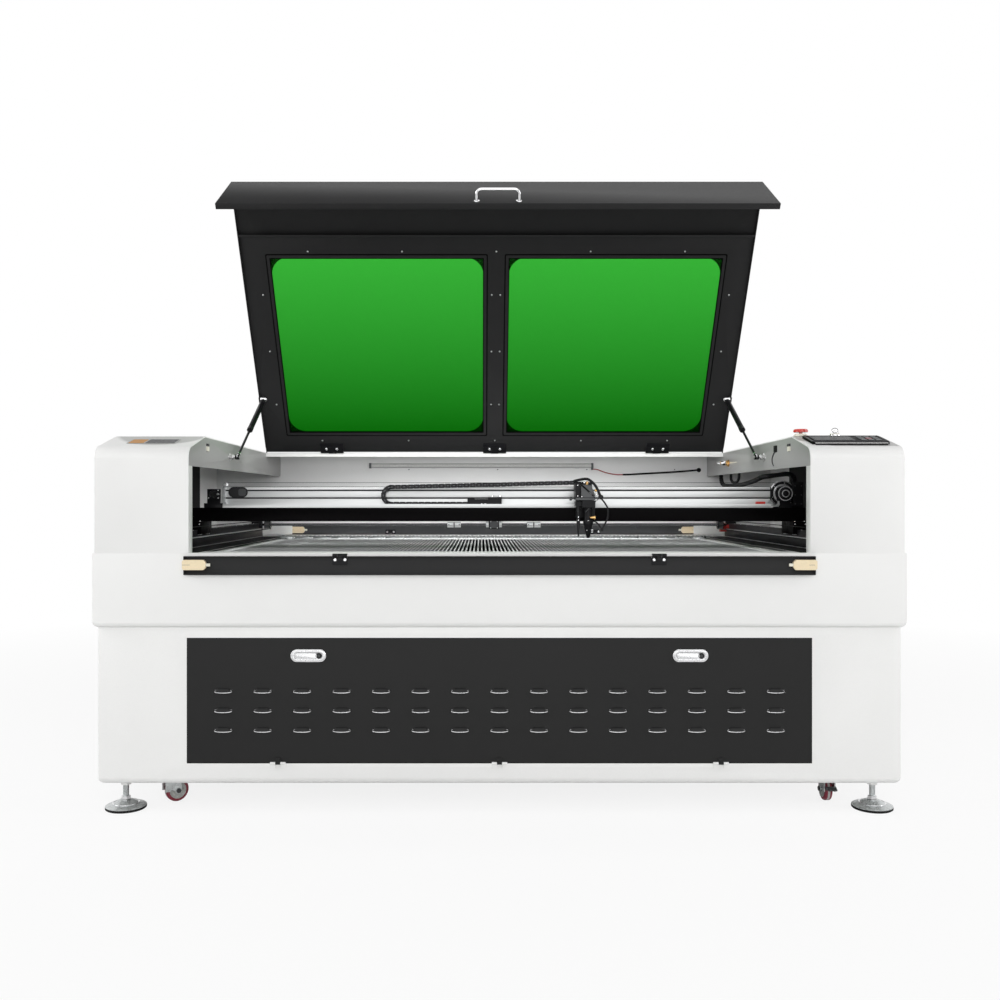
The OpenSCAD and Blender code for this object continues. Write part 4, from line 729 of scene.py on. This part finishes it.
def buildHarness():
    line = smoothPath(harness["route"], 20)
    sweep(line, harness["thick"] / 2 - 0.7, 14, rib=1.4)
    piece = addPiece("gantry_harness_sleeve", None, ["chain"], stands=["gantry_harness"],
                     crease=60)
    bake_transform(piece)
    print("harness length", round(lineLength(line) * mm, 4))
    sweep(smoothPath(harness["second"], 12), 4.5, 12, rib=0.6)
    addPiece("cheek_cable_loop", "machine", ["chain"], crease=60)


motor = {"x": 892, "z": 870, "plug": (920, 951)}


def buildGantryEnds():
    x, z = motor["x"], motor["z"]
    hub = moved(x, -308.8, z, facing)  # belt pulley housing on the motor's face
    lathe([(29, 0), (38, 0), (38, 14.5), (36.5, 15.5), (30.5, 15.5), (29, 14)], hub, 56, closed=True)
    lathe([(37.8, 2), (41.2, 2), (41.2, 12), (37.8, 15)], hub, 56, 1, True)
    lathe([(26.8, 12), (29.6, 12), (29.6, 15), (26.8, 17.2)], hub, 56, 1, True)
    collar(15, 28, 10, 12, hub, 56, 2)
    for inner, outer, low, high in ((20, 22.6, 44, 45.8), (9.4, 11.8, 47.2, 48.8)):
        collar(inner, outer, low, high, hub, 48, 1)
    lathe([(17.2, 12), (17.2, 46.2), (15, 47.4), (9.2, 47.4), (9.2, 46), (0, 46)], hub, 44)
    lathe([(7.6, 44), (7.6, 50), (6.6, 50.8), (0, 50.8)], hub, 32, 3)
    for k in range(6):
        angle = radians(60 * k + 20)
        screw((x + 33.5 * cos(angle), -324.3, z + 33.5 * sin(angle)), 1.6, 1)
    for k in range(4):
        angle = radians(90 * k + 45)
        rod((15.5 * cos(angle), 15.5 * sin(angle), 12), (28.5 * cos(angle), 28.5 * sin(angle), 12), 2.2,
            10, place=hub)
    addPiece("motor_pulley", "gantry", ["blackMetal", "satin", "aluminium", "graphite"],
             bevel=0.4)
    low, high = motor["plug"]  # plug block cover, gland and motor feet
    box((low + 2, -341.2, 832), (high - 2, -339.8, 900))
    for dx in (6, 25):
        for height in (838, 866, 894):
            screw((low + dx, -341, height), 2.2, 1)
    lathe([(8.6, 0), (10, 1), (10, 6), (8.4, 9), (7.4, 9), (7.4, 0)], moved(927.5, -325, 898.5), 24,
          closed=True)
    for dx in (-19, 19):
        screw((x + dx, -341, 840), 2.6, 2, along=(0, 0, 1))
    addPiece("motor_cover", "gantry", ["blackMetal", "graphite", "chrome"], bevel=0.6)
    # hooked limit bracket and rubber bumper beside the motor
    outline = [(838.5, 849), (838.5, 844), (856, 829), (872, 829), (876, 836), (874.5, 847), (869, 847),
               (869, 838), (864, 835), (858, 837), (848, 849)]
    slab(outline, 348, 350, place=facing)
    box((803, -349, 837.5), (831, -337, 845), 1)
    box((805, -349.5, 826.5), (829, -336.5, 838), 2)
    addPiece("travel_bumper", "gantry", ["aluminium", "red", "blackMetal"], bevel=0.8)
    seat = moved(-878, -355.6, 868, facing)  # mirror face, ring and knurled adjusters
    lathe([(12.2, -1), (14.5, -1), (14.5, 1.4), (12.2, 2.2)], seat, 40, closed=True)
    lathe([(12.1, 0), (12.1, 0.8), (0, 0.8)], seat, 40, 1)
    for dx, dz in ((15.5, 12), (15.5, -12), (-14.8, -12)):
        rod((-878 + dx, -355.6, 868 + dz), (-878 + dx, -330, 868 + dz), 1.4, 10, 2)
        screw((-878 + dx, -356, 868 + dz), 2.4, 2)
    rod((-863, -355.5, 868), (-863, -359.5, 868), 4, 18, 2, tip=3.7)
    outline = [(-853, 826.5), (-840, 826.5), (-840, 842), (-844.5, 850), (-844.5, 889), (-853, 889)]
    slab(outline, 308, 344, 3, facing)
    addPiece("mirror_details", "gantry", ["blackMetal", "darkSteel", "chrome", "aluminium"],
             bevel=0.4)
    for side in (-1, 1):  # rail end caps, dark groove strips, belt, beam and truck screws
        box((side * 851 - 1.6, -335.6, 825.6), (side * 851 + 1.6, -294.4, 890.6))
        for y in (-372, -268):
            for dx in (-15, 15):
                screw((side * 930 + dx, y, 784), 3.6, 1, along=(0, 0, 1))
        for dx in (-16, 16):
            screw((side * 930 + dx, -380, 775.5), 2.6, 1)
        for y in (-365, -275):  # recirculating bearing blocks on the rail
            box((side * 930 - 17, y - 13, 742.5), (side * 930 - 10.8, y + 13, 754), 2)
            box((side * 930 + 10.8, y - 13, 742.5), (side * 930 + 17, y + 13, 754), 2)
    for groove in (856, 879.7):
        box((-849.5, -332.9, groove - 2.1), (849.5, -331.2, groove + 2.1))
    slab(roundRect(60.5, 32, 15.8, -805.8, 874, 10), 333.8, 336.2, place=facing)
    slab(roundRect(23, 22, 6, -793, 874, 6), 336.2, 336.6, 3, facing)
    addPiece("rail_details", "gantry", ["blackPlastic", "chrome", "zinc", "graphite"],
             bevel=0.3)
    for height in (890.5, 903.5):  # toothed belt over the rail, from the idler to the pulley
        box((-850, -319.5, height), (892, -312.5, height + 1.2))
    lathe([(5.2, 0), (7.8, 0.6), (5.2, 1.2), (5.2, 8.8), (7.8, 9.4), (5.2, 10)],
          moved(-850, -311, 897.6, facing), 28, 1, True)
    addPiece("head_belt", "gantry", ["rubber", "aluminium"], bevel=0.2)


# laser head
head = {"plate": ((243, 796), (302, 796), (302, 838), (298, 852), (266, 906.5), (243, 906.5)),
        "gusset": ((252.4, 896.4), (252.4, 856), (297.8, 856)), "gussetY": (409.5, 411.5),
        "hose": ((236, -372, 908), (250, -385, 911.5), (272, -402, 914), (286.6, -405, 905.8),
                 (299.6, -405, 891.2), (308.2, -405, 873.5), (313.5, -405, 860)),
        "wire": ((311.5, -406, 857), (300, -410, 847.5), (289.9, -412, 837.4), (278, -412, 824.5),
                 (267.5, -409, 813)),
        "cable": ((316, -405, 854.5), (327, -407, 840), (335.4, -408, 823), (335.2, -408, 798),
                  (327, -407, 778), (317.5, -405, 764), (305, -402, 779), (293, -398, 785.5))}


def boredBlock(low, high, x, y, radius, bottom, top):  # upright box with a round bore at x, y
    angles = [tau * k / 32 for k in range(32)]
    angles += [atan2(cy - y, cx - x) % tau for cx in (low[0], high[0]) for cy in (low[1], high[1])]
    inner, outer = [], []
    for angle in sorted(angles):
        dx, dy = cos(angle), sin(angle)
        walls = ((high[0] if dx > 0 else low[0], x, dx), (high[1] if dy > 0 else low[1], y, dy))
        reach = min((side - at) / step for side, at, step in walls if abs(step) > 1e-6)
        inner.append((x + radius * dx, y + radius * dy))
        outer.append((x + reach * dx, y + reach * dy))
    hoop(inner, outer, bottom, top)


def buildHead():
    slab(head["plate"], 351, 358, place=facing)
    box((243, -358, 891), (270, -287, 906.5))
    box((243, -294.5, 856), (300, -287, 906.5))
    for y in (-345, -300):
        for x in (249, 264):
            screw((x, y, 906.5), 2.6, 1, along=(0, 0, 1))
    box((237, -405, 855), (252.4, -358, 901.5))  # upright case
    box((237.8, -412.5, 849.6), (297.2, -358, 857), 2)  # lower bar
    boredBlock((257, -415), (297, -359), 277, -395, 10.8, 827, 848.5)
    boredBlock((237.1, -403.5), (256.6, -358.5), 247, -395, 6.8, 831, 845.5)
    near, far = head["gussetY"]
    slab(head["gusset"], near, far, 2, facing)
    corners = [Vector((x, 0, z)) for x, z in head["gusset"]]
    middle = sum(corners, Vector()) / 3
    for a, b in zip(corners, corners[1:] + corners[:1]):  # raised edges
        a, b = a.lerp(middle, 0.05), b.lerp(middle, 0.05)
        lift = Vector((0, -far - 0.4, 0))
        rod(a + lift, b + lift, 1.1, 8)
    slab([(257.3, 897.6), (285, 894.4), (297.2, 865), (297.5, 860)], 388, 408, 2, facing)
    for x, z in ((244.5, 895), (244.5, 862), (256, 860)):
        screw((x, -405 if x < 250 else -412.5, z), 1.8, 1)
    addPiece("head_carriage", "head", ["blackMetal", "chrome", "graphite"], bevel=0.6,
             stands=["carriage"])
    # push fittings, locking knobs and their silver collars
    for at, along, wide, high in (((272.5, -404, 896.5), (0.12, 0, 1), 4.3, 10.5),
                                  ((295.5, -405, 881.5), (0.75, 0, -0.65), 3.8, 8.5)):
        place = aimed(at, Vector(at) + Vector(along))
        slab(disc(wide, 6), 0, high * 0.45, place=place)
        lathe([(wide * 0.86, high * 0.45), (wide * 0.95, high * 0.6), (wide * 0.95, high * 0.85),
               (wide * 0.6, high), (0, high)], place, 20)
    rod((281, -412, 796.6), (292.5, -412, 796.6), 1.8, tip=5.6)
    rod((292.5, -412, 796.6), (297, -412, 796.6), 5.6, tip=5)
    addPiece("air_fittings", "head", ["brass"], bevel=0.3)
    for at, wide in (((264, -404, 903), 3), ((301, -404, 868), 3.2), ((299.8, -410, 848), 2.2),
                     ((296.4, -405, 781), 2), ((307.8, -400, 756), 2)):
        screw(at, wide, proud=0.8)
    rod((229, -380, 853.7), (237, -380, 853.7), 1.6, 12, 1)
    lathe([(4.8, 0), (5.6, 1), (5.6, 6), (4.6, 7.5), (0, 7.5)], moved(229, -380, 853.7, spin(-90, "Y")),
          16, 1)
    addPiece("head_hardware", "head", ["chrome", "graphite"], bevel=0.2)
    sweep(smoothPath(head["hose"], 10), 4, 14, rib=0.4)  # air hose, sensor wire and red pointer cable
    lathe([(5, -8.5), (7.2, -6.5), (7.2, 6.5), (5.8, 8.5), (0, 8.5)], moved(314.5, -405, 859, facing), 22)
    lathe([(0, -8.5), (5, -8.5)], moved(314.5, -405, 859, facing), 22)
    sweep(smoothPath(head["wire"], 8), 1.3, tint=1)
    sweep(smoothPath(head["cable"], 10), 2.6, 12)
    plug = moved(317, -405, 760)
    box((-5.2, -4.5, -5), (5.2, 4.5, 6.5), place=plug)
    addPiece("head_cables", "head", ["chain", "graphite"], bevel=0.2, crease=50)
    barrel = moved(277, -395, 0)  # lens barrel rings, clamp screws and nozzle band
    for low in (772, 784.5):
        collar(10, 12, low, low + 1.5, barrel, 40)
    collar(9.3, 9.8, 790, 818, barrel, 40, 1)
    lathe([(8.8, 763), (10, 760.5), (10.3, 754), (8.8, 751.5), (7.5, 754)], barrel, 40, closed=True)
    for x, z, wide in ((276.8, 787.2, 1.9), (272.2, 779, 1.6), (272.2, 758, 1.5)):
        screw((x, -407 if z > 760 else -405, z), wide, 2, 0.7)
    rod((286, -399, 759), (291.5, -401, 759), 3.2, 14, 2, tip=2.6)
    addPiece("lens_rings", "lens", ["blackMetal", "graphite", "chrome"], bevel=0.3)
    for z in (798.3, 788.6):
        screw((247, -400.8, z), 2.2, proud=0.7)
    lathe([(5.6, 812), (6.6, 812.6), (6.6, 818), (5.6, 818.6)], moved(247, -395, 0), 24, 1, True)
    addPiece("pen_details", "pen", ["chrome", "blackPlastic"], bevel=0.2)


# drive
def buildDrive():
    for side in (-1, 1):
        for low, high in ((128, 152), (156, 180)):
            lathe([(10.2, low), (11, low + 1), (11, high - 1), (10.2, high)],
                  moved(0, 430, 755, spin(side * 90, "Y")), 28, closed=True)
        for at in (134, 174):
            screw((side * at, 419, 755), 2.2, 1)
        for y, z in disc(16, 20, 430, 755):  # pulley teeth
            rod((side * 866.5, y, z), (side * 883.5, y, z), 1, 6)
    addPiece("shaft_couplings", "shaft", ["aluminium", "graphite"], bevel=0.2)
    for side in (-1, 1):  # toothed belts to the gantry, red buffer, rail screws and motor trim
        for height in (771.5, 737.5):
            box((side * 875 - 7.5, -700, height), (side * 875 + 7.5, 430, height + 1.2))
        lathe([(16.5, 0), (16.5, 18), (0, 18)], moved(side * 884, -700, 755, spin(-side * 90, "Y")), 28,
              1)
        for y in range(-680, 460, 90):
            screw((side * 924.5, y, 758), 2.4, 2, along=(0, 0, 1))
        box((side * 875 - 10, -712, 706.5), (side * 875 + 10, -690, 740), 1)
    addPiece("travel_belts", "machine", ["rubber", "graphite", "chrome"], bevel=0.3)
    box((886, 470, 726.2), (908, 490, 760))
    box((908, 470, 726.2), (922, 490, 753))
    addPiece("travel_buffer", "machine", ["red"], bevel=1.2)
    box((-16.5, 411.5, 741.5), (16.5, 413.2, 768.5))  # motor screws, terminal cover, flange and lead
    for dx in (-13, 13):
        for dz in (-12.5, 12.5):
            screw((dx, 411.6, 755 + dz), 2.2, 1)
    for side in (1, -1):
        collar(5.2, 10.5, 0, 10, moved(side * 20.3, 430, 755, spin(side * 90, "Y")), 28, 1)
        screw((side * 23.5, 469.8, 764.5), 2.6, 1)
    addPiece("drive_motor_trim", "machine", ["graphite", "aluminium"], bevel=0.4)


# controls on the right-hand slope, label plate on the left-hand one
controls = {"slope": (-712, 1000, 14.14), "centre": 967, "panel": (214, 12, 100), "switchY": -570,
            "switchZ": 1032.3, "estopX": 870, "keyX": 968, "estop": 19.5, "key": 14}


def onSlope(x):
    y, z, lean = controls["slope"]
    return moved(x, y, z, spin(lean, "X"))


def buildControls():
    wide, near, far = controls["panel"]
    place = onSlope(controls["centre"])
    mid = (near + far) / 2
    outer = roundRect(wide, far - near, 6, 0, mid, 6)
    hoop(roundRect(wide - 10, far - near - 10, 4, 0, mid, 6), outer, 6, 8.6, place=place)
    slab(roundRect(112, 62, 4, -38, mid), 8.1, 8.9, 1, place)
    slab(roundRect(104, 54, 2, -38, mid), 8.9, 9.2, 2, place)
    for row in range(3):
        for k in range(3):
            slab(roundRect(15.5, 14.5, 3, 44 + k * 20, mid + (row - 1) * 20, 4), 8.1, 9.5,
                 3 if (row, k) != (1, 1) else 4, place)
    for x in (-1, 1):
        for u in (near + 5, far - 5):
            screw(place @ Vector((x * (wide / 2 - 6), u, 8.6)), 2.2, 5,
                  along=place.to_3x3() @ Vector((0, 0, 1)))
    addPiece("panel_face", "machine", ["blackPlastic", "screen", "screen", "keys", "maroon", "graphite"],
             bevel=0.5)
    slab(roundRect(wide - 14, 8, 2, 0, 6.2), 4.8, 5.6, place=place)  # painted highlight: a pale strip before the panel stands in for the lit front edge of its bezel
    addPiece("panel_edge_highlight", "machine", ["white"], bevel=0.3)
    plate = onSlope(-961)  # plain label plate, a warm field beside a dark one
    slab(roundRect(136, 62, 4, 0, 52), 0.2, 1.1, place=plate)
    slab(roundRect(42, 54, 2, -43, 52), 1.1, 1.4, 1, plate)
    slab(roundRect(80, 54, 2, 23, 52), 1.1, 1.4, 2, plate)
    addPiece("label_plate", "machine", ["grey", "orange", "screen"], bevel=0.2)
    y, z = controls["switchY"], controls["switchZ"]
    # collars and locking rings of the two switches
    for x, radius in ((controls["estopX"], controls["estop"]), (controls["keyX"], controls["key"] + 2)):
        lathe([(radius - 3.5, 1.2), (radius - 1, 0.4), (radius, 1.6), (radius, 4.4), (radius - 1.5, 6),
               (radius - 3.5, 6)], moved(x, y, z), 48, 0 if x < 900 else 1, True)
    lathe([(6.2, 8), (10.5, 8), (11.2, 8.8), (10.5, 9.6), (6.2, 9.6)], moved(controls["keyX"], y, z), 40,
          1, True)
    addPiece("switch_collars", "machine", ["cream", "chrome"], bevel=0.3)
    cap = moved(controls["estopX"], y, z + 12.5)  # domed cap with grip scallops
    lathe([(15, 0), (18.5, 0.8), (20, 3.6), (19.4, 6.2), (16.5, 8.2), (10, 9.4), (0, 9.8)], cap, 56)
    for gripX, gripY in disc(19.6, 16):
        rod((gripX, gripY, 1.6), (gripX, gripY, 5.6), 1, 8, place=cap)
    addPiece("estop_cap", "estop", ["red"], bevel=0.2)
    loop = moved(controls["keyX"], y, z + 13.5)  # key ring loop
    ring = [Vector((8.6 * cos(a), -1.2 - 0.4 * sin(2 * a), 6.8 * sin(a) + 4))
            for a in (tau * k / 30 for k in range(31))]
    sweep(ring, 0.9, 8, place=loop)
    addPiece("key_ring", "key", ["darkSteel"])


# fittings on the cheeks and in the corner of the rear wall
cheek = {"x": 840, "proud": 3.4, "air": (150, 982), "socket": (-428, 1004), "limit": (-562, 1003),
         "grommet": (808, 968)}


def buildCheeks():
    x, proud = cheek["x"], cheek["proud"]
    inward = spin(-90, "Y")
    y, z = cheek["air"]
    seat = moved(x, y, z, inward)
    lathe([(13, 0), (13, 2.2), (9, 2.6), (0, 2.6)], seat, 32)
    slab(disc(11, 6), 2.6, 7.8, place=seat)
    lathe([(7.8, 7.8), (8.5, 8.6), (8.5, 11), (7.2, 11.8)], seat, 30)
    lathe([(7, 10), (7.4, 12), (7.4, 26), (5.8, 29), (5.8, 31), (4.2, 33), (3.4, 42), (0, 42)], seat, 30,
          1)
    lathe([(5.8, 29.2), (7, 29.6), (7, 30.6), (5.8, 31)], seat, 30, closed=True)
    # painted highlight: a thin cream line on the cheek running forward from the air fitting
    box((x - 0.9, y - 115, z - 1.5), (x, y - 16, z + 1.5), 2)
    y, z = cheek["socket"]
    slab(roundRect(20, 30, 3, 0, 0), 0, 2.6, 3, moved(x, y, z, inward))
    slab(roundRect(13, 13, 2, 0, 0), 2.6, proud, 3, moved(x, y, z, inward))
    lead = [(x - 1.7, y, z - 8), (x - 1.7, y + 18, z - 14), (x - 1.7, y + 33, z - 28),
            (x - 1.7, y + 30, z - 42), (x - 1.7, y + 18, z - 50)]
    sweep(smoothPath(lead, 10), 1.4, tint=4)
    for side in (-1, 1):
        y, z = cheek["limit"]
        box((side * x, y - 11, z - 12), (side * (x - proud), y + 11, z + 1.5), 2)
        box((side * x, y - 11, z + 1.5), (side * (x - proud), y + 11, z + 9), 4)
        for dy in (-6.5, 6.5):
            screw((side * (x - proud + 0.6), y + dy, z - 6), 1.6, 1, 0.3, (-side, 0, 0))
    dx, dz = cheek["grommet"]
    lathe([(3.6, 0.4), (8.6, 0.4), (8.6, 2.8), (6.2, 5.2), (3.6, 5.2)], moved(dx, 500, dz, facing), 32, 3,
          True)
    lathe([(4, 1), (0, 1)], moved(dx, 500, dz, facing), 32, 3)
    addPiece("cheek_fittings", "machine", ["brass", "chrome", "cream", "rubber", "graphite"],
             bevel=0.5, stands=["wall_fittings"])


# lamp and its lead
lamp = {"ends": (-485, 387), "y": 486, "z": (976, 994), "thick": 4, "sleeve": 0.42,
        "lead": ((391.3, 494, 972), (410, 494, 969), (440, 494, 958), (475, 494, 951), (520, 494, 950),
                 (580, 494, 953), (650, 494, 957), (720, 494, 961), (770, 494, 965), (799.7, 494, 968))}


def buildLamp():
    left, right = lamp["ends"]
    low, high = lamp["z"]
    box((left + 5, lamp["y"] - 1.2, low + 4.5), (right - 5, lamp["y"] + 0.6, high - 4.5))
    for side in (low + 2.2, high - 2.2):  # lips of the channel
        box((left + 4, lamp["y"] - 1.8, side - 2.2), (right - 4, lamp["y"] + 0.4, side + 2.2), 3)
    for x in (left, right):
        box((x - 4.2, 483.8, low - 1.2), (x + 4.2, 499.5, high + 1.2), 2)
    for k in range(5):
        x = left + 60 + k * (right - left - 120) / 4
        box((x - 7, lamp["y"] - 2.4, low - 2.2), (x + 7, 499, low - 0.6), 1)
    box((right - 4.2, 489.5, low - 7.5), (right + 4, 498.5, low - 1), 2)  # lead outlet
    addPiece("lamp_channel", "machine", ["lens", "aluminium", "keys", "grey"], bevel=0.4)
    line = smoothPath(lamp["lead"], 12)
    split = int(len(line) * lamp["sleeve"])
    sweep(line, lamp["thick"] / 2, 12)
    for face in bm.faces:
        if face.calc_center_median().x > line[split].x:
            face.material_index = 1
    piece = addPiece("lamp_lead_wire", "machine", ["redWire", "rubber"], stands=["lamp_lead"],
                     crease=60)
    sweep(line[split:], 3.4, 14)
    sleeve = addPiece("lamp_lead_sleeve", "machine", ["rubber"], crease=60)
    print("lamp lead length", round(lineLength(line) * mm, 4))


# painted shade seen past the bed: dark sheets in the side compartments and dark strips on the deck; rail
# edges and rear plates
def buildHousings():
    for side in (-1, 1):
        # painted shade: a dark sheet for the shaded inside of each side compartment
        box((side * 1086, -700, 760), (side * 1088.5, 245, 975))
        # painted shade: dark strips on the deck beside each travel rail
        for near, far in ((824.5, 905), (955, 1084)):
            box((side * near, -715, 706.2), (side * far, 478, 707.4))
    addPiece("painted_shade_sheets", "machine", ["rubber"], bevel=0.4)
    for side in (-1, 1):  # bright edge and foot of each travel rail
        box((side * 908.5, -700, 733.5), (side * 910, 470, 738.5))
        box((side * 905, -700, 706.6), (side * 910, 470, 709.2))
    addPiece("rail_edges", "machine", ["aluminium"], bevel=0.4)
    for x in (-334, 16, 367, 713):  # screws of the rear wall, rear housing and its inlet plate
        screw((x, 500, 970), 2.2)
    for x in range(-1000, 1100, 400):
        for z in (735, 990):
            screw((x, 750, z), 4.2, along=(0, 1, 0))
    addPiece("wall_screws", "machine", ["graphite"])


# casters and feet
under = {"caster": (925, 638), "yaw": (35, 90, -20, 15), "trail": 20, "axle": 34, "wheel": 32, "half": 12,
         "foot": (1030, 688), "corners": ((-1, -1), (1, -1), (-1, 1), (1, 1)), "dome": 55, "stem": 8,
         "braked": 1}


def buildUnderframe():
    cx, cy = under["caster"]
    for index, (sx, sy) in enumerate(under["corners"]):
        number = str(index + 1)
        base = moved(sx * cx, sy * cy, 0, spin(under["yaw"][index], "Z"))
        axle = base @ moved(under["trail"], 0, under["axle"]) @ facing
        wheel, half = under["wheel"], under["half"]
        lathe([(wheel - 5.5, -half + 0.8), (wheel - 1.6, -half + 3), (wheel, -half + 5.8),
               (wheel, half - 5.8), (wheel - 1.6, half - 3), (wheel - 5.5, half - 0.8),
               (wheel - 8.5, half - 0.8), (wheel - 8.5, -half + 0.8)], axle, 60, closed=True)
        lathe([(wheel - 0.3, -3.4), (wheel + 0.2, -3), (wheel + 0.2, 3), (wheel - 0.3, 3.4)], axle, 60, 1,
              True)
        for turn in (-1, 1):
            lathe([(wheel - 8.5, turn * (half - 0.8)), (wheel - 9.8, turn * (half - 1.4)),
                   (wheel - 11, turn * (half - 4.4)), (12, turn * (half - 5)),
                   (10.4, turn * (half - 0.6)), (4.6, turn * (half - 0.1))], axle, 48, 1)
        for k in range(6):
            angle = radians(60 * k)
            for turn in (-1, 1):
                box((10.8, -0.9, turn * (half - 5.2)), (wheel - 10, 0.9, turn * (half - 2.6)), 1,
                    axle @ Matrix.Rotation(angle, 4, "Z"))
        collar(4.12, 4.6, -half + 0.1, half - 0.1, axle, 32, 2)
        addPiece("caster_wheel_" + number + "_tyre", "wheel_" + number, ["maroon", "hub", "cream"],
                 stands=["caster_wheel_" + number])
        # king-pin rings, folded fork edges, axle nuts, brake lever
        lathe([(22.2, 67.8), (23.6, 68.4), (23.6, 70.2), (22.2, 70.8)], base, 44, closed=True)
        lathe([(5.2, 60), (9.6, 60), (11, 61.6), (11, 67.4), (5.2, 67.4)], base, 32, closed=True)
        for turn in (-1, 1):
            nut = axle @ moved(0, 0, turn * (half + 4.2))
            slab(disc(7.2, 6), min(0, turn * 4.4), max(0, turn * 4.4), 1, nut)
            lathe([(8.8, 0), (8.8, turn * 0.9), (4, turn * 0.9)], axle @ moved(0, 0, turn * (half + 4.1)),
                  28)
            box((-17, turn * 16 - 0.8, 48), (27, turn * 16 + 0.8, 50), place=base)
        if index == under["braked"]:
            outline = [(-18, 40), (-20, 50), (-32, 52), (-42, 46), (-41, 42.5), (-31, 47.5), (-24, 45),
                       (-21.5, 39)]
            slab(outline, -12.5, 12.5, 1, base @ facing)
        addPiece("caster_" + number + "_trim", "caster_" + number, ["zinc", "graphite"],
                 bevel=0.4)
        at = moved(sx * under["foot"][0], sy * under["foot"][1], 0)
        dome, stem = under["dome"], under["stem"]
        lathe([(0, 0.2), (dome - 2.2, 0.2), (dome, 2), (dome, 6.8), (dome - 1, 8), (0, 8)], at, 72, 1)
        lathe([(dome - 0.3, 7.4), (dome - 0.2, 8.6), (dome - 2.2, 9.8), (dome - 7, 11.8),
               (dome - 13, 13.2), (dome * 0.62, 15.2), (dome * 0.46, 20.5), (dome * 0.4, 22.2),
               (dome * 0.3, 24.5), (stem + 1.2, 25.8), (0, 25.8)], at, 72)
        lathe([(dome * 0.645, 14.8), (dome * 0.66, 16), (dome * 0.645, 16.8), (dome * 0.6, 16)], at, 72,
              2, True)
        slab(disc(12.8, 6), 26.2, 34.4, 2, at)
        lathe([(9.5, 34.4), (11.2, 34.4), (9.5, 35)], at, 30, 2, True)
        turns, pitch = 34, 2
        thread = [Vector(((stem - 0.4) * cos(a), (stem - 0.4) * sin(a), 35 + pitch * a / (2 * pi)))
                  for a in [tau * k / 16 for k in range(16 * turns)]]
        sweep(thread, 0.6, 5, place=at)
        rod((0, 0, 25), (0, 0, 104.5), stem - 0.6, 28, place=at)
        addPiece("foot_" + number + "_pad", "foot_body_" + number, ["zinc", "rubber", "chrome"],
                 stands=["foot_" + number])


# laser tube, electronics and outlet
def buildServices():
    tube = moved(0, 625, 887.5, spin(90, "Y"))
    for low in (-806, 728):
        collar(30, 40.8, low, low + 14, tube, 44)
    for at in (-760, 700):
        rod((at, 625, 928.5), (at, 625, 940), 4.8, 18, 1, tip=4)
    for x in (-533.3, 533.3):
        collar(40.5, 42.5, x - 12, x + 12, tube, 44, 2)
    addPiece("tube_fittings", "machine", ["chrome", "brass", "rubber"], bevel=0.5)
    y, z = 60, 81  # heat-sink fins, terminal rows, grilles and wiring on the boards
    for k in range(16):
        x = -760 + k * 19
        box((x, y + 18.5, z + 20), (x + 6, y + 20, z + 140))
    for low, high in ((-40, 20), (60, 120)):
        for k in range(9):
            box((low - 1.2, y + 10 + k * 12, z + 14), (low, y + 15 + k * 12, z + 100), 1)
        box((low + 12, y - 1, z + 10), (high - 12, y, z + 96), 2)
        for k in range(7):
            screw((low + 30, y - 1, z + 18 + k * 11.5), 2.4, 3)
    for k in range(12):
        box((-292 + k * 13.8, y + 4, z + 46), (-284 + k * 13.8, y + 22, z + 54), 2)
        screw((-288 + k * 13.8, y + 13, z + 54), 2.4, 3, along=(0, 0, 1))
    for k in range(14):
        x = 312 + k * 14.5
        slab(roundRect(6, 70, 2.8, x, y + 58), z + 50, z + 50.8, 1)
    addPiece("electronics_details", "machine", ["zinc", "blackMetal", "pcb", "chrome"],
             bevel=0.3)
    duct = moved(-700, 738, 291.5, spin(-90, "X"))  # clamp band and bolts of the exhaust outlet
    lathe([(75, 15), (76.4, 15.2), (76.4, 21.8), (75, 22)], duct, 64, closed=True)
    for sx, sz in under["corners"]:
        bolt((-700 + sx * 81, 741.2, 291.5 + sz * 81), (0, 1, 0), 4.2, 4, 1)
    addPiece("outlet_band", "machine", ["chrome", "graphite"], bevel=0.3)


for name, build in (("lid", buildLid), ("struts", buildStruts), ("flaps", buildFlaps),
                    ("door", buildDoor), ("bed", buildBed), ("drag chain", buildChain),
                    ("harness", buildHarness), ("gantry ends", buildGantryEnds), ("head", buildHead),
                    ("drive", buildDrive), ("controls", buildControls), ("cheek fittings", buildCheeks),
                    ("lamp", buildLamp), ("housings", buildHousings),
                    ("casters and feet", buildUnderframe), ("services", buildServices)):
    build()
    print(name, "built")
print("pieces finished")
